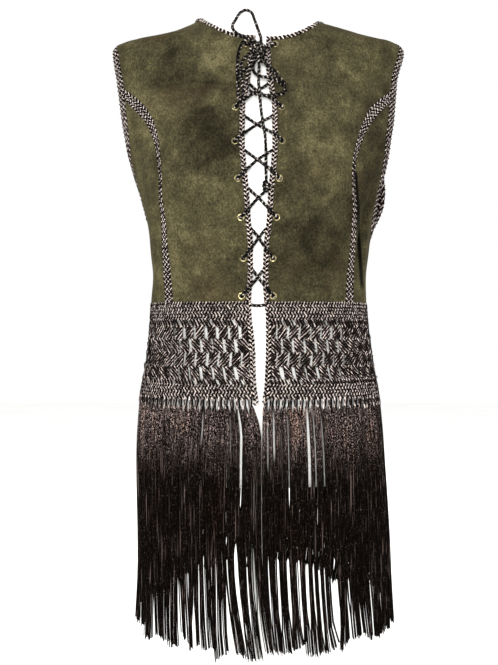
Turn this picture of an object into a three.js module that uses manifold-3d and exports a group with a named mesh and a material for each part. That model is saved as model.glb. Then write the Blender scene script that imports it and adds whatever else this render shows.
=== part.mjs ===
// A suede vest on a limbless dress form.
//
// Suede panels are joined and edged with crocheted braid, a crocheted band goes round the
// waist and a long yarn fringe is knotted into it. A cord laces the front through brass
// eyelets and ends in a bow. The form stands on a pole and a round base.
//
// Millimetres, +Z up. The origin is the centre of the base's underside. The vest faces -Y,
// and left and right are as seen by someone who faces it.

import * as THREE from 'three';
import { mergeVertices } from 'three/addons/utils/BufferGeometryUtils.js';
import Module from 'manifold-3d';

const wasm = await Module();
wasm.setup();

// ---- Driving dimensions --------------------------------------------------------------

const GAP = 0.3;               // between pieces that are sewn edge to edge
const SUEDE = 1.6;             // thickness of the suede
const BRAID = 3.0;             // thickness of the crocheted braid
const BAND = 3.2;              // thickness of the crocheted band
const FRINGE = 6;              // depth of the fringe, strand behind strand

// The front neckline rises from the opening to the shoulder seam. The vest hangs a little
// lower on its right.
const NECKLINE = {
  left: { front: 985, point: 1026, half: 88, curve: 1.7 },
  right: { front: 983, point: 1018, half: 87, curve: 2 },
};
const BACK_NECK = { height: 1004, curve: 2.4 };
const SUEDE_HEM = 616;         // where the suede ends and the band starts
const BAND_HEM = 476;          // where the band ends and the fringe starts
const TIPS = { front: 150, side: 170, back: 216 };

const NECK_BRAID = 4;          // widths of the crocheted edgings
const ARM_BRAID = 9;
const EDGE_BRAID = 6.6;

const EYELET = {
  hole: 3.0, barrel: 3.5, flange: 5.2, bevel: 0.5, lift: 0.7, height: 1.1, inset: 12.8,
};
const EYELET_ROWS = [624, 674, 727, 778, 829, 877, 926, 971];
const CORD = 1.8;              // radius of the lacing cord

const FORM_FOOT = 366;         // flat underside of the form
const POLE = 12;               // radius of the pole
const BASE = { radius: 214, height: 8, edge: 2 };
const COLLAR = { rim: 30, flat: 4, height: 34, wall: 5, slope: 8 };

const QUARTER = Math.PI / 2;
const degrees = Math.PI / 180;

// ---- Tables --------------------------------------------------------------------------

// Each table has named columns and a row for each height, from the top down. Between the
// rows a value follows a smooth curve that never overshoots.
class Table {
  constructor(columns, rows) {
    this.columns = columns;
    this.rows = rows;
  }

  slope(i, c) {
    const rows = this.rows;
    if (i === 0 || i === rows.length - 1) return 0;
    const before = (rows[i][c] - rows[i - 1][c]) / (rows[i][0] - rows[i - 1][0]);
    const after = (rows[i + 1][c] - rows[i][c]) / (rows[i + 1][0] - rows[i][0]);
    return before * after <= 0 ? 0 : 2 * before * after / (before + after);
  }

  at(column, z) {
    const rows = this.rows;
    const c = this.columns.indexOf(column);
    if (z >= rows[0][0]) return rows[0][c];
    if (z <= rows[rows.length - 1][0]) return rows[rows.length - 1][c];
    let i = 0;
    while (z < rows[i + 1][0]) i += 1;
    const step = rows[i + 1][0] - rows[i][0];
    const t = (z - rows[i][0]) / step;
    const blend = t * t * (3 - 2 * t);
    const rise = t * (1 - t) * (1 - t) * step * this.slope(i, c);
    const fall = t * t * (1 - t) * step * this.slope(i + 1, c);
    return rows[i][c] * (1 - blend) + rows[i + 1][c] * blend + rise - fall;
  }
}

// The cloth's sections. Widths are from the centre plane, depths from the plane of the
// shoulder seams, and a roundness of 2 is an ellipse.
const CLOTH = new Table(['z', 'left', 'right', 'front', 'back', 'round'], [
  [1034, 72, 54, 45, 50, 2],
  [1026, 88, 72, 49, 54, 2],
  [1018, 97, 87, 51, 57, 2],
  [1009, 117, 121, 55, 62, 2],
  [1003, 134, 143, 57, 65, 2],
  [996, 166, 167, 59.5, 68, 2],
  [991, 195, 194, 61, 70.5, 2],
  [986, 207, 203, 62.5, 72.5, 2],
  [977, 211.5, 208, 65, 75, 2.05],
  [930, 208, 200.5, 79, 87, 2.15],
  [880, 203, 200, 95, 94, 2.2],
  [840, 193, 193.5, 106, 96, 2.25],
  [800, 180, 181.5, 115.5, 95, 2.3],
  [765, 169, 169.5, 120, 92.5, 2.3],
  [720, 160.5, 160, 116.5, 88, 2.3],
  [690, 158, 157, 110, 87, 2.35],
  [655, 154.5, 152.5, 102, 88, 2.4],
  [616, 155.5, 153, 97, 91, 2.4],
  [550, 160.5, 160, 99, 100, 2.35],
  [476, 172, 172, 108, 111, 2.3],
  [400, 176, 178, 115, 118, 2.25],
  [245, 173, 186, 118.5, 119, 2.2],
  [140, 177, 187, 121, 119, 2.2],
]);

// The dress form's sections.
const FORM = new Table(['z', 'width', 'front', 'back', 'round'], [
  [1082, 54, 40, 50, 2],
  [1080, 59, 44, 54, 2],
  [1062, 64, 46, 55, 2],
  [1042, 69, 45, 52, 2],
  [1030, 76, 44, 50, 2],
  [1021, 80, 44, 50, 2],
  [1014.5, 86, 45, 51, 2],
  [1005, 115, 46.5, 56, 2],
  [999, 131, 48, 59, 2],
  [991, 159, 51, 62, 2],
  [984, 176, 53, 65, 2.05],
  [974, 186, 59, 69, 2.1],
  [930, 180, 71, 79, 2.15],
  [880, 172, 86, 86, 2.2],
  [840, 165, 97, 88, 2.25],
  [800, 158, 106, 87, 2.3],
  [765, 152, 110.5, 84.5, 2.3],
  [720, 148, 107.5, 80, 2.3],
  [655, 143, 93, 80, 2.3],
  [616, 142, 88, 83, 2.3],
  [550, 148, 90, 91, 2.3],
  [476, 158, 98, 101, 2.25],
  [410, 162, 103, 106, 2.2],
  [FORM_FOOT + 8, 160, 102, 105, 2.2],
  [FORM_FOOT, 154, 96, 99, 2.2],
]);

// The largest folds, as soft ridges and troughs in the cloth. The angle goes round from
// the centre front, and the right-hand side of the vest is positive.
const FOLDS = [
  { angle: 104, spread: 26, z: 764, reach: 72, depth: 22 },    // right armhole stands open
  { angle: 106, spread: 28, z: 860, reach: 90, depth: 6 },
  { angle: 68, spread: 8, z: 715, reach: 95, depth: -5 },      // tuck by the right seam
  { angle: -84, spread: 10, z: 690, reach: 75, depth: -4 },    // slack under the left arm
  { angle: -40, spread: 34, z: 925, reach: 14, depth: -1.6 },  // crease over the left chest
  { angle: 128, spread: 12, z: 690, reach: 95, depth: -4 },    // tucks above the back waist
  { angle: -140, spread: 11, z: 700, reach: 90, depth: -4 },
];

// The two free edges of the front opening.
const OPENING = new Table(['z', 'left', 'right'], [
  [983, -6, 9],
  [955, -9, 7],
  [905, -16, 12],
  [882, -20.5, 15.8],
  [828, -21, 16],
  [789, -18, 13],
  [758, -15, 10],
  [727, -13, 8.5],
  [690, -10, 4.5],
  [655, -10, 3.5],
  [616, -12.5, 5],
  [600, -12, 7.5],
  [558, -7.5, 7.5],
  [504, -5.5, 5.5],
  [476, -2, 2],
]);

// The curved seams between the front panels and the side panels, up to just below the
// armhole, and the width of the braid that joins them there.
const FRONT_SEAM = new Table(['z', 'left', 'right', 'braid'], [
  [883, 165, 160, 13],
  [862, 153, 146, 10],
  [838, 145.5, 137, 6],
  [808, 140, 129, 4],
  [780, 137, 127.5, 4.4],
  [735, 134.5, 131, 7],
  [690, 133, 130, 8],
  [655, 132, 127, 9],
  [616, 131, 126, 12],
]);

const BACK_SEAM = new Table(['z', 'left', 'right', 'braid'], [
  [870, 134, 138, 10],
  [830, 124, 127, 6],
  [780, 117, 119, 5],
  [735, 113, 115, 7],
  [690, 110, 112, 8],
  [655, 108, 110, 9],
  [616, 106, 108, 12],
]);

// The free edge of each armhole, seen from the side: down the front and up the back.
const ARMHOLE = {
  left: [
    { y: 0, z: 979 }, { y: -13, z: 953 }, { y: -24, z: 914 }, { y: -31, z: 873 },
    { y: -29, z: 842 }, { y: -19, z: 812 }, { y: -6, z: 786 }, { y: 6, z: 762 },
    { y: 19, z: 745 }, { y: 32, z: 743 }, { y: 42, z: 762 }, { y: 48, z: 800 },
    { y: 50, z: 850 }, { y: 44, z: 905 }, { y: 25, z: 951 },
  ],
  right: [
    { y: 0, z: 979 }, { y: -13, z: 955 }, { y: -25, z: 916 }, { y: -36, z: 878 },
    { y: -41, z: 845 }, { y: -38, z: 808 }, { y: -27, z: 768 }, { y: -13, z: 734 },
    { y: 1, z: 718 }, { y: 14, z: 719 }, { y: 25, z: 746 }, { y: 36, z: 800 },
    { y: 43, z: 852 }, { y: 42, z: 905 }, { y: 24, z: 953 },
  ],
};

// How finely the pieces are faceted. Neighbours share their points along a seam.
const LOOP = 36;               // round an armhole
const FRONT_CORNER = 4;        // the front panel's last point on the armhole
const SEAM = 10;               // along a curved seam
const NECK_FRONT = 6;          // along half the front neckline
const NECK_BACK = 10;          // along the back neckline
const SHOULDER = 5;            // along a shoulder seam

const SIDES = [
  { name: 'left', sign: -1 },
  { name: 'right', sign: 1 },
];

// ---- The cloth's surface -------------------------------------------------------------

function foldDepth(angle, z) {
  let depth = 0;
  for (const fold of FOLDS) {
    const turn = (angle / degrees - fold.angle + 540) % 360 - 180;
    const across = turn / fold.spread;
    const along = (z - fold.z) / fold.reach;
    if (Math.abs(across) < 1 && Math.abs(along) < 1) {
      depth += fold.depth * (1 - across ** 2) ** 2 * (1 - along ** 2) ** 2;
    }
  }
  return depth;
}

function ovalRadius(angle, width, depth, round) {
  const sideways = Math.abs(Math.sin(angle)) / width;
  const forward = Math.abs(Math.cos(angle)) / depth;
  return (sideways ** round + forward ** round) ** (-1 / round);
}

function clothPoint(angle, z) {
  const width = CLOTH.at(Math.sin(angle) < 0 ? 'left' : 'right', z);
  const depth = CLOTH.at(Math.cos(angle) > 0 ? 'front' : 'back', z);
  const radius = ovalRadius(angle, width, depth, CLOTH.at('round', z)) + foldDepth(angle, z);
  return new THREE.Vector3(radius * Math.sin(angle), -radius * Math.cos(angle), z);
}

// Directions along the surface as the angle or the height grows, and the way out of it.
function clothFrame(angle, z) {
  const turn = 0.004;
  const rise = 0.4;
  const round = clothPoint(angle + turn, z).sub(clothPoint(angle - turn, z)).divideScalar(2 * turn);
  const up = clothPoint(angle, z + rise).sub(clothPoint(angle, z - rise)).divideScalar(2 * rise);
  return { round, up, out: round.clone().cross(up).normalize() };
}

function lifted(angle, z, out) {
  return clothPoint(angle, z).addScaledVector(clothFrame(angle, z).out, out);
}

// A spot is a place on the cloth: its angle round the body, and its height.
const spot = (angle, z) => new THREE.Vector2(angle, z);

function frontSpot(x, z) {
  const width = CLOTH.at(x < 0 ? 'left' : 'right', z);
  const round = CLOTH.at('round', z);
  const share = Math.min(Math.abs(x) / width, 1);
  const forward = CLOTH.at('front', z) * (1 - share ** round) ** (1 / round);
  return spot(Math.atan2(x, forward), z);
}

function backSpot(x, z) {
  const width = CLOTH.at(x < 0 ? 'left' : 'right', z);
  const round = CLOTH.at('round', z);
  const share = Math.min(Math.abs(x) / width, 1);
  const behind = CLOTH.at('back', z) * (1 - share ** round) ** (1 / round);
  return spot(Math.atan2(x, -behind), z);
}

function sideSpot(side, y, z) {
  const depth = CLOTH.at(y < 0 ? 'front' : 'back', z);
  const round = CLOTH.at('round', z);
  const x = CLOTH.at(side.name, z) * (1 - (Math.abs(y) / depth) ** round) ** (1 / round);
  return spot(side.sign * Math.atan2(x, -y), z);
}

// A smooth curve over the cloth through the given spots, as evenly spaced spots.
function spacedSpots(spots, count, closed = false) {
  const points = spots.map((s) => clothPoint(s.x, s.y));
  const curve = new THREE.CatmullRomCurve3(points, closed, 'centripetal');
  curve.arcLengthDivisions = 400;
  return curve.getSpacedPoints(count).map((p) => spot(Math.atan2(p.x, -p.y), p.z));
}

// Moves spots over the surface, to the left of the way they run as seen from outside.
function movedSpots(spots, distance, closed = false) {
  const last = spots.length - 1;
  return spots.map((s, i) => {
    const before = closed ? spots[(i + last) % (last + 1)] : spots[Math.max(i - 1, 0)];
    const after = closed ? spots[(i + 1) % (last + 1)] : spots[Math.min(i + 1, last)];
    const along = clothPoint(after.x, after.y).sub(clothPoint(before.x, before.y));
    const { round, up, out } = clothFrame(s.x, s.y);
    const left = out.clone().cross(along).normalize();
    const reach = typeof distance === 'function' ? distance(s, i) : distance;
    const rr = round.dot(round);
    const uu = up.dot(up);
    const ru = round.dot(up);
    const area = rr * uu - ru * ru;
    const turn = (round.dot(left) * uu - up.dot(left) * ru) / area;
    const rise = (up.dot(left) * rr - round.dot(left) * ru) / area;
    return spot(s.x + turn * reach, s.y + rise * reach);
  });
}

const between = (a, b, share) => spot(a.x + (b.x - a.x) * share, a.y + (b.y - a.y) * share);

function line(a, b, count) {
  return Array.from({ length: count + 1 }, (_, i) => between(a, b, i / count));
}

// ---- Solids --------------------------------------------------------------------------

function closedMesh(vertices, triangles) {
  let volume = 0;
  for (const [a, b, c] of triangles) {
    volume += vertices[a].dot(vertices[b].clone().cross(vertices[c]));
  }
  const index = triangles.flatMap(([a, b, c]) => (volume < 0 ? [a, c, b] : [a, b, c]));
  const geometry = new THREE.BufferGeometry();
  geometry.setAttribute('position', new THREE.Float32BufferAttribute(
    vertices.flatMap((v) => [v.x, v.y, v.z]), 3));
  geometry.setIndex(index);
  geometry.computeVertexNormals();
  return geometry;
}

// A wall of cloth from a grid of spots: rows that run up, columns that run round.
function wall(rows, thickness, ring = false) {
  const high = rows.length;
  const wide = rows[0].length;
  const vertices = [];
  for (const out of [thickness / 2, -thickness / 2]) {
    for (const row of rows) {
      for (const s of row) vertices.push(lifted(s.x, s.y, out));
    }
  }
  const at = (face, j, i) => face * high * wide + (j % high) * wide + (i % wide);
  const triangles = [];
  const quad = (a, b, c, d) => {
    // A four-sided face is cut along its shorter diagonal.
    if (vertices[a].distanceTo(vertices[c]) < vertices[b].distanceTo(vertices[d])) {
      triangles.push([a, b, c], [a, c, d]);
    } else {
      triangles.push([a, b, d], [b, c, d]);
    }
  };
  const columns = ring ? wide : wide - 1;
  for (let j = 0; j < high - 1; j += 1) {
    for (let i = 0; i < columns; i += 1) {
      quad(at(0, j, i), at(0, j, i + 1), at(0, j + 1, i + 1), at(0, j + 1, i));
      quad(at(1, j, i), at(1, j + 1, i), at(1, j + 1, i + 1), at(1, j, i + 1));
    }
    if (!ring) {
      quad(at(0, j, 0), at(0, j + 1, 0), at(1, j + 1, 0), at(1, j, 0));
      const i = wide - 1;
      quad(at(0, j, i), at(1, j, i), at(1, j + 1, i), at(0, j + 1, i));
    }
  }
  for (let i = 0; i < columns; i += 1) {
    quad(at(0, 0, i), at(1, 0, i), at(1, 0, i + 1), at(0, 0, i + 1));
    const j = high - 1;
    quad(at(0, j, i), at(0, j, i + 1), at(1, j, i + 1), at(1, j, i));
  }
  return closedMesh(vertices, triangles);
}

// Fills a panel between its four edges, each a list of spots.
function panelRows(bottom, top, start, end) {
  const wide = bottom.length - 1;
  const high = start.length - 1;
  return start.map((_, j) => bottom.map((__, i) => {
    const u = i / wide;
    const v = j / high;
    const upright = between(bottom[i], top[i], v);
    const level = between(start[j], end[j], u);
    const corners = between(
      between(bottom[0], bottom[wide], u), between(top[0], top[wide], u), v);
    return spot(upright.x + level.x - corners.x, upright.y + level.y - corners.y);
  }));
}

// A body whose sections are stacked ovals, closed by flat ends.
function ovalBody(table, around) {
  const vertices = [];
  for (const [z] of table.rows) {
    for (let i = 0; i < around; i += 1) {
      const angle = 2 * Math.PI * i / around;
      const depth = table.at(Math.cos(angle) > 0 ? 'front' : 'back', z);
      const radius = ovalRadius(angle, table.at('width', z), depth, table.at('round', z));
      vertices.push(new THREE.Vector3(radius * Math.sin(angle), -radius * Math.cos(angle), z));
    }
  }
  const last = table.rows.length - 1;
  const topCentre = vertices.push(new THREE.Vector3(0, 0, table.rows[0][0])) - 1;
  const footCentre = vertices.push(new THREE.Vector3(0, 0, table.rows[last][0])) - 1;
  const triangles = [];
  for (let i = 0; i < around; i += 1) {
    const next = (i + 1) % around;
    for (let j = 0; j < last; j += 1) {
      const a = j * around;
      const b = a + around;
      triangles.push([a + i, b + i, b + next], [a + i, b + next, a + next]);
    }
    triangles.push([topCentre, i, next]);
    triangles.push([footCentre, last * around + next, last * around + i]);
  }
  return closedMesh(vertices, triangles);
}

// A cord through its points, with a section at each of them.
class CordRoute extends THREE.CatmullRomCurve3 {
  getPointAt(share, target) {
    return this.getPoint(share, target);
  }

  getTangentAt(share, target) {
    return this.getTangent(share, target);
  }
}

function cord(points, radius) {
  const path = new CordRoute(points, false, 'centripetal');
  const rim = Array.from({ length: 8 }, (_, i) => new THREE.Vector2(
    radius * Math.cos(i * Math.PI / 4), radius * Math.sin(i * Math.PI / 4)));
  return new THREE.ExtrudeGeometry(new THREE.Shape(rim), {
    steps: points.length - 1, extrudePath: path,
  });
}

function toSolid(geometry) {
  const bare = geometry.clone();
  bare.deleteAttribute('normal');
  bare.deleteAttribute('uv');
  const merged = mergeVertices(bare, 1e-4);
  return new wasm.Manifold(new wasm.Mesh({
    numProp: 3,
    vertProperties: new Float32Array(merged.attributes.position.array),
    triVerts: new Uint32Array(merged.index.array),
  }));
}

function toGeometry(solid) {
  const mesh = solid.getMesh();
  const geometry = new THREE.BufferGeometry();
  geometry.setAttribute('position', new THREE.BufferAttribute(mesh.vertProperties, 3));
  geometry.setIndex(new THREE.BufferAttribute(mesh.triVerts, 1));
  geometry.computeVertexNormals();
  return geometry;
}

// ---- Materials -----------------------------------------------------------------------

const finish = (colour, roughness, metalness = 0) => new THREE.MeshStandardMaterial({
  color: colour, roughness, metalness,
});

const suede = finish(0x565236, 0.95);
const yarn = finish(0x4a3d36, 0.9);
const fringeYarn = finish(0x241a17, 0.85);
const rope = finish(0x1d1a18, 0.85);
const brass = finish(0xb08a3c, 0.35, 1);
const jersey = finish(0xf2f2ec, 0.9);
const paint = finish(0xe9e9e6, 0.4);

const group = new THREE.Group();

function add(name, geometry, material) {
  const mesh = new THREE.Mesh(geometry, material);
  mesh.name = name;
  group.add(mesh);
  return mesh;
}

// ---- Shared seam lines ---------------------------------------------------------------

// The neckline's free edge, from the right-hand front corner round the back to the left.
function frontNeckline(side) {
  const { front, point, half, curve } = NECKLINE[side.name];
  const open = Math.abs(OPENING.at(side.name, front));
  const first = open + EDGE_BRAID + GAP;
  const rise = (x) => front + (point - front) * ((x - open) / (half - open)) ** curve;
  const shares = [0, 0.3, 0.56, 0.76, 0.9, 0.97, 1];
  const spots = shares.map((share) => {
    const x = first + (half - first) * share;
    return frontSpot(side.sign * x, rise(x));
  });
  return [frontSpot(side.sign * open, front), ...spacedSpots(spots, NECK_FRONT)];
}

function backNeckline() {
  const { height, curve } = BACK_NECK;
  const shares = [1, 0.96, 0.86, 0.66, 0.36, 0, -0.36, -0.66, -0.86, -0.96, -1];
  const spots = shares.map((share) => {
    const { point, half } = NECKLINE[share < 0 ? 'left' : 'right'];
    return backSpot(share * half, height + (point - height) * Math.abs(share) ** curve);
  });
  return unwound(spacedSpots(spots, NECK_BACK));
}

// Angles at the back carry on past half a turn instead of jumping to minus.
function unwound(spots) {
  return spots.map((s) => spot(s.x < 0 ? s.x + 2 * Math.PI : s.x, s.y));
}

const necklineRight = frontNeckline(SIDES[1]);
const necklineLeft = unwound(frontNeckline(SIDES[0])).reverse();
const NECK_RIGHT = NECK_FRONT + 1;
const NECK_LEFT = NECK_RIGHT + NECK_BACK;
const neckFree = [...necklineRight, ...backNeckline().slice(1), ...necklineLeft.slice(1)];
const neckSewn = onCrest(movedSpots(neckFree, -NECK_BRAID), NECK_RIGHT, NECK_LEFT);
const neckCut = onCrest(movedSpots(neckFree, -NECK_BRAID - GAP), NECK_RIGHT, NECK_LEFT);

// Puts the spots that meet a shoulder seam back on the crest.
function onCrest(spots, ...places) {
  for (const i of places) spots[i] = spot(QUARTER * Math.round(spots[i].x / QUARTER), spots[i].y);
  return spots;
}

function seamLines(side) {
  const loop = ARMHOLE[side.name].map(({ y, z }) => sideSpot(side, y, z));
  const free = onCrest(spacedSpots(loop, LOOP, true).slice(0, LOOP), 0);
  const halfway = movedSpots(free, -side.sign * ARM_BRAID / 2, true);
  const sewn = onCrest(movedSpots(halfway, -side.sign * ARM_BRAID / 2, true), 0);
  const cut = onCrest(movedSpots(sewn, -side.sign * 2 * GAP, true), 0);

  // The rails of a curved seam's braid, from the hem to the armhole.
  const rails = (table, place, centre, corner, beside) => {
    const heights = table.rows.map(([z]) => z).reverse();
    const spots = heights.map((z) => place(side.sign * table.at(side.name, z), z));
    spots.push(between(cut[corner], cut[beside], 0.5));
    const middle = spacedSpots(spots, SEAM);
    const half = (s) => table.at('braid', s.y) / 2;
    const inner = movedSpots(middle, (s) => centre * half(s));
    const outer = movedSpots(middle, (s) => -centre * half(s));
    const level = (rail) => rail.map((s, i) => (i === 0 ? spot(s.x, SUEDE_HEM) : s));
    inner[SEAM] = cut[corner];
    outer[SEAM] = cut[beside];
    return { inner: level(inner), outer: level(outer) };
  };
  const backCorner = LOOP - FRONT_CORNER;
  return {
    free,
    sewn,
    cut,
    front: rails(FRONT_SEAM, frontSpot, side.sign, FRONT_CORNER, FRONT_CORNER + 1),
    back: rails(BACK_SEAM, backSpot, -side.sign, backCorner, backCorner - 1),
    backCorner,
  };
}

const seams = { left: seamLines(SIDES[0]), right: seamLines(SIDES[1]) };

// A shoulder seam lies along the crest. Each panel stops half a gap short of it.
function shoulder(side, facing, neckHeight, tipHeight) {
  return line(spot(0, neckHeight), spot(0, tipHeight), SHOULDER).map((s) => {
    const short = GAP / 2 / CLOTH.at(side.name, s.y);
    return spot(side.sign * (QUARTER - facing * short), s.y);
  });
}

// ---- Suede panels --------------------------------------------------------------------

function eyeletSpots(side) {
  return EYELET_ROWS.map((z) => {
    const x = OPENING.at(side.name, z) + side.sign * EYELET.inset;
    return frontSpot(x, z);
  });
}

function eyeletPunch(s) {
  const punch = new THREE.CylinderGeometry(
    EYELET.barrel + GAP, EYELET.barrel + GAP, 5 * SUEDE, 8);
  punch.applyQuaternion(new THREE.Quaternion().setFromUnitVectors(
    new THREE.Vector3(0, 1, 0), clothFrame(s.x, s.y).out));
  const centre = clothPoint(s.x, s.y);
  punch.translate(centre.x, centre.y, centre.z);
  return toSolid(punch);
}

function frontPanel(side) {
  const { front, cut } = seams[side.name];
  const neck = side.sign > 0 ? neckCut.slice(1, NECK_RIGHT + 1)
    : neckCut.slice(NECK_LEFT, -1).reverse().map((s) => spot(s.x - 2 * Math.PI, s.y));
  const arm = cut.slice(0, FRONT_CORNER).reverse();
  const top = [...neck.slice(0, -1), ...shoulder(side, 1, neck[NECK_FRONT].y, cut[0].y)];
  const end = [...front.inner, ...arm];
  end[end.length - 1] = top[top.length - 1];
  const start = line(spot(0, SUEDE_HEM), spot(0, neck[0].y), end.length - 1).map((s) => (
    frontSpot(OPENING.at(side.name, s.y) + side.sign * (EDGE_BRAID + GAP), s.y)));
  start[start.length - 1] = neck[0];
  const bottom = line(start[0], end[0], top.length - 1);
  let solid = toSolid(wall(panelRows(bottom, top, start, end), SUEDE));
  for (const s of eyeletSpots(side)) solid = solid.subtract(eyeletPunch(s));
  add(`front_${side.name}`, toGeometry(solid), suede);
  return start;
}

function sidePanel(side) {
  const { free, sewn, front, back, cut, backCorner } = seams[side.name];
  const top = cut.slice(FRONT_CORNER + 1, backCorner);
  const lowest = top.reduce((low, s, i) => (s.y < top[low].y ? i : low), 0);
  const under = spot(top[lowest].x, SUEDE_HEM);
  const bottom = [
    ...line(front.outer[0], under, lowest),
    ...line(under, back.outer[0], top.length - 1 - lowest).slice(1),
  ];
  // The cloth is strongly curved under the arm, so the braid's own room is cut out of it.
  const around = movedSpots(sewn, -side.sign * GAP, true);
  const braidRoom = toSolid(wall([around, free], BRAID + 2 * GAP, true));
  const panel = toSolid(wall(panelRows(bottom, top, front.outer, back.outer), SUEDE));
  add(`side_${side.name}`, toGeometry(panel.subtract(braidRoom)), suede);
}

function backEdge(side) {
  const { back, cut, backCorner } = seams[side.name];
  return unwound([...back.inner, ...cut.slice(backCorner + 1), cut[0]]);
}

function backPanel() {
  const start = backEdge(SIDES[1]);
  const end = backEdge(SIDES[0]);
  const neck = neckCut.slice(NECK_RIGHT, NECK_LEFT + 1);
  const rightShoulder = shoulder(SIDES[1], -1, neck[0].y, seams.right.cut[0].y).reverse();
  const leftShoulder = unwound(shoulder(SIDES[0], -1, neck[NECK_BACK].y, seams.left.cut[0].y));
  const top = [...rightShoulder, ...neck.slice(1, -1), ...leftShoulder];
  start[start.length - 1] = top[0];
  end[end.length - 1] = top[top.length - 1];
  const bottom = line(start[0], end[0], top.length - 1);
  add('back_panel', wall(panelRows(bottom, top, start, end), SUEDE), suede);
}

const openingCuts = SIDES.map(frontPanel);
SIDES.forEach(sidePanel);
backPanel();

// ---- Crocheted braid -----------------------------------------------------------------

// A braid sewn between two rails, a gap clear of each.
function insertion(name, inner, outer) {
  const rows = inner.map((s, i) => {
    const width = clothPoint(s.x, s.y).distanceTo(clothPoint(outer[i].x, outer[i].y));
    const share = GAP / width;
    return [between(s, outer[i], share), between(s, outer[i], 1 - share)];
  });
  add(name, wall(rows, BRAID), yarn);
}

function frontEdging(side, cutLine) {
  const free = side.sign > 0 ? neckCut[0] : neckCut[neckCut.length - 1];
  const rows = cutLine.map((s, i) => {
    const atTop = i === cutLine.length - 1;
    const x = OPENING.at(side.name, s.y);
    return [
      frontSpot(x, atTop ? free.y : s.y),
      frontSpot(x + side.sign * EDGE_BRAID, s.y),
    ];
  });
  add(`edging_front_${side.name}`, wall(rows, BRAID), yarn);
}

add('edging_neck', wall([neckSewn, neckFree], BRAID), yarn);
SIDES.forEach((side, i) => frontEdging(side, openingCuts[i]));
for (const side of SIDES) {
  const { free, sewn, front, back } = seams[side.name];
  add(`edging_armhole_${side.name}`, wall([sewn, free], BRAID, true), yarn);
  insertion(`braid_front_${side.name}`, front.inner, front.outer);
  insertion(`braid_back_${side.name}`, back.inner, back.outer);
}

// ---- Crocheted band and fringe -------------------------------------------------------

function crochetBand() {
  const rows = line(spot(0, BAND_HEM), spot(0, SUEDE_HEM - GAP), 4).map((level) => {
    const z = level.y;
    const start = frontSpot(OPENING.at('right', z), z);
    const end = frontSpot(OPENING.at('left', z), z);
    return line(start, spot(end.x + 2 * Math.PI, z), 36);
  });
  add('crochet_band', wall(rows, BAND), yarn);
}

function tipHeight(angle) {
  const facing = Math.cos(angle);
  const far = facing > 0 ? TIPS.front : TIPS.back;
  return TIPS.side + (far - TIPS.side) * Math.abs(facing);
}

function fringe(name, from, to) {
  const top = line(spot(from, BAND_HEM - GAP), spot(to, BAND_HEM - GAP), 9);
  const rows = [0, 0.25, 0.5, 0.75, 1].map((share) => top.map((s) => (
    spot(s.x, tipHeight(s.x) + (s.y - tipHeight(s.x)) * share))));
  add(name, wall(rows, FRINGE), fringeYarn);
}

crochetBand();
for (const side of SIDES) {
  const slit = side.sign * 0.6 * degrees;
  const join = 0.08 * degrees;
  fringe(`fringe_front_${side.name}`, slit, side.sign * (QUARTER - join));
  fringe(`fringe_back_${side.name}`, side.sign * (QUARTER + join), side.sign * (Math.PI - join));
}

// ---- Eyelets -------------------------------------------------------------------------

// A barrel through the suede with a rolled flange on its face, turned about its own axis.
function eyeletGeometry() {
  const face = SUEDE / 2 + EYELET.lift;
  const profile = [
    [EYELET.hole, -SUEDE / 2],
    [EYELET.barrel, -SUEDE / 2],
    [EYELET.barrel, face],
    [EYELET.flange, face],
    [EYELET.flange - EYELET.bevel, face + EYELET.height],
    [EYELET.hole + EYELET.bevel, face + EYELET.height],
    [EYELET.hole, -SUEDE / 2],
  ];
  return new THREE.LatheGeometry(profile.map(([r, h]) => new THREE.Vector2(r, h)), 10);
}

for (const side of SIDES) {
  eyeletSpots(side).forEach((s, i) => {
    const eyelet = add(`eyelet_${side.name}_${i + 1}`, eyeletGeometry(), brass);
    eyelet.position.copy(clothPoint(s.x, s.y));
    eyelet.quaternion.setFromUnitVectors(new THREE.Vector3(0, 1, 0), clothFrame(s.x, s.y).out);
  });
}

// ---- Lacing --------------------------------------------------------------------------

// The bow's knot is a rounded lump that lies on the slope of the chest, and the two halves
// of the lacing enter it just above and below its middle.
const BOW_KNOT = { x: -2, z: 957, out: 8.6, entry: 4, half: { across: 10, deep: 6, tall: 13 } };
const END_KNOT = { half: 3.4, tall: 8, lean: 0.6 };

// A point in front of the cloth: sideways place, height, and how far out of the surface.
function before(x, z, out) {
  const s = frontSpot(x, z);
  return lifted(s.x, s.y, out);
}

const CLEAR = { braid: 0.8, flange: 0.5, crossing: 0.4 };
const OVER_BRAID = BRAID / 2 + CORD + CLEAR.braid;
const OVER_FLANGE = SUEDE / 2 + EYELET.lift + EYELET.height + CORD + CLEAR.flange;
const CROSSING = CORD + CLEAR.crossing;
const TURN = 2;                // how far towards the opening the cord turns at an eyelet
const PAST = 1;                // how far past a free edge it stays level with the braid

const eyeAt = (side, z) => ({ x: OPENING.at(side.name, z) + side.sign * EYELET.inset, z });

// A point above or below the straight way from one place to another, as far along as x.
function onWay(from, to, x, out) {
  const share = (x - from.x) / (to.x - from.x);
  return before(x, from.z + (to.z - from.z) * share, out);
}

// Where the way from one place to another passes a side's free edge.
function edgeOnWay(side, from, to) {
  let x = OPENING.at(side.name, from.z);
  for (let i = 0; i < 5; i += 1) {
    x = OPENING.at(side.name, from.z + (to.z - from.z) * (x - from.x) / (to.x - from.x));
  }
  return x;
}

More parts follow.
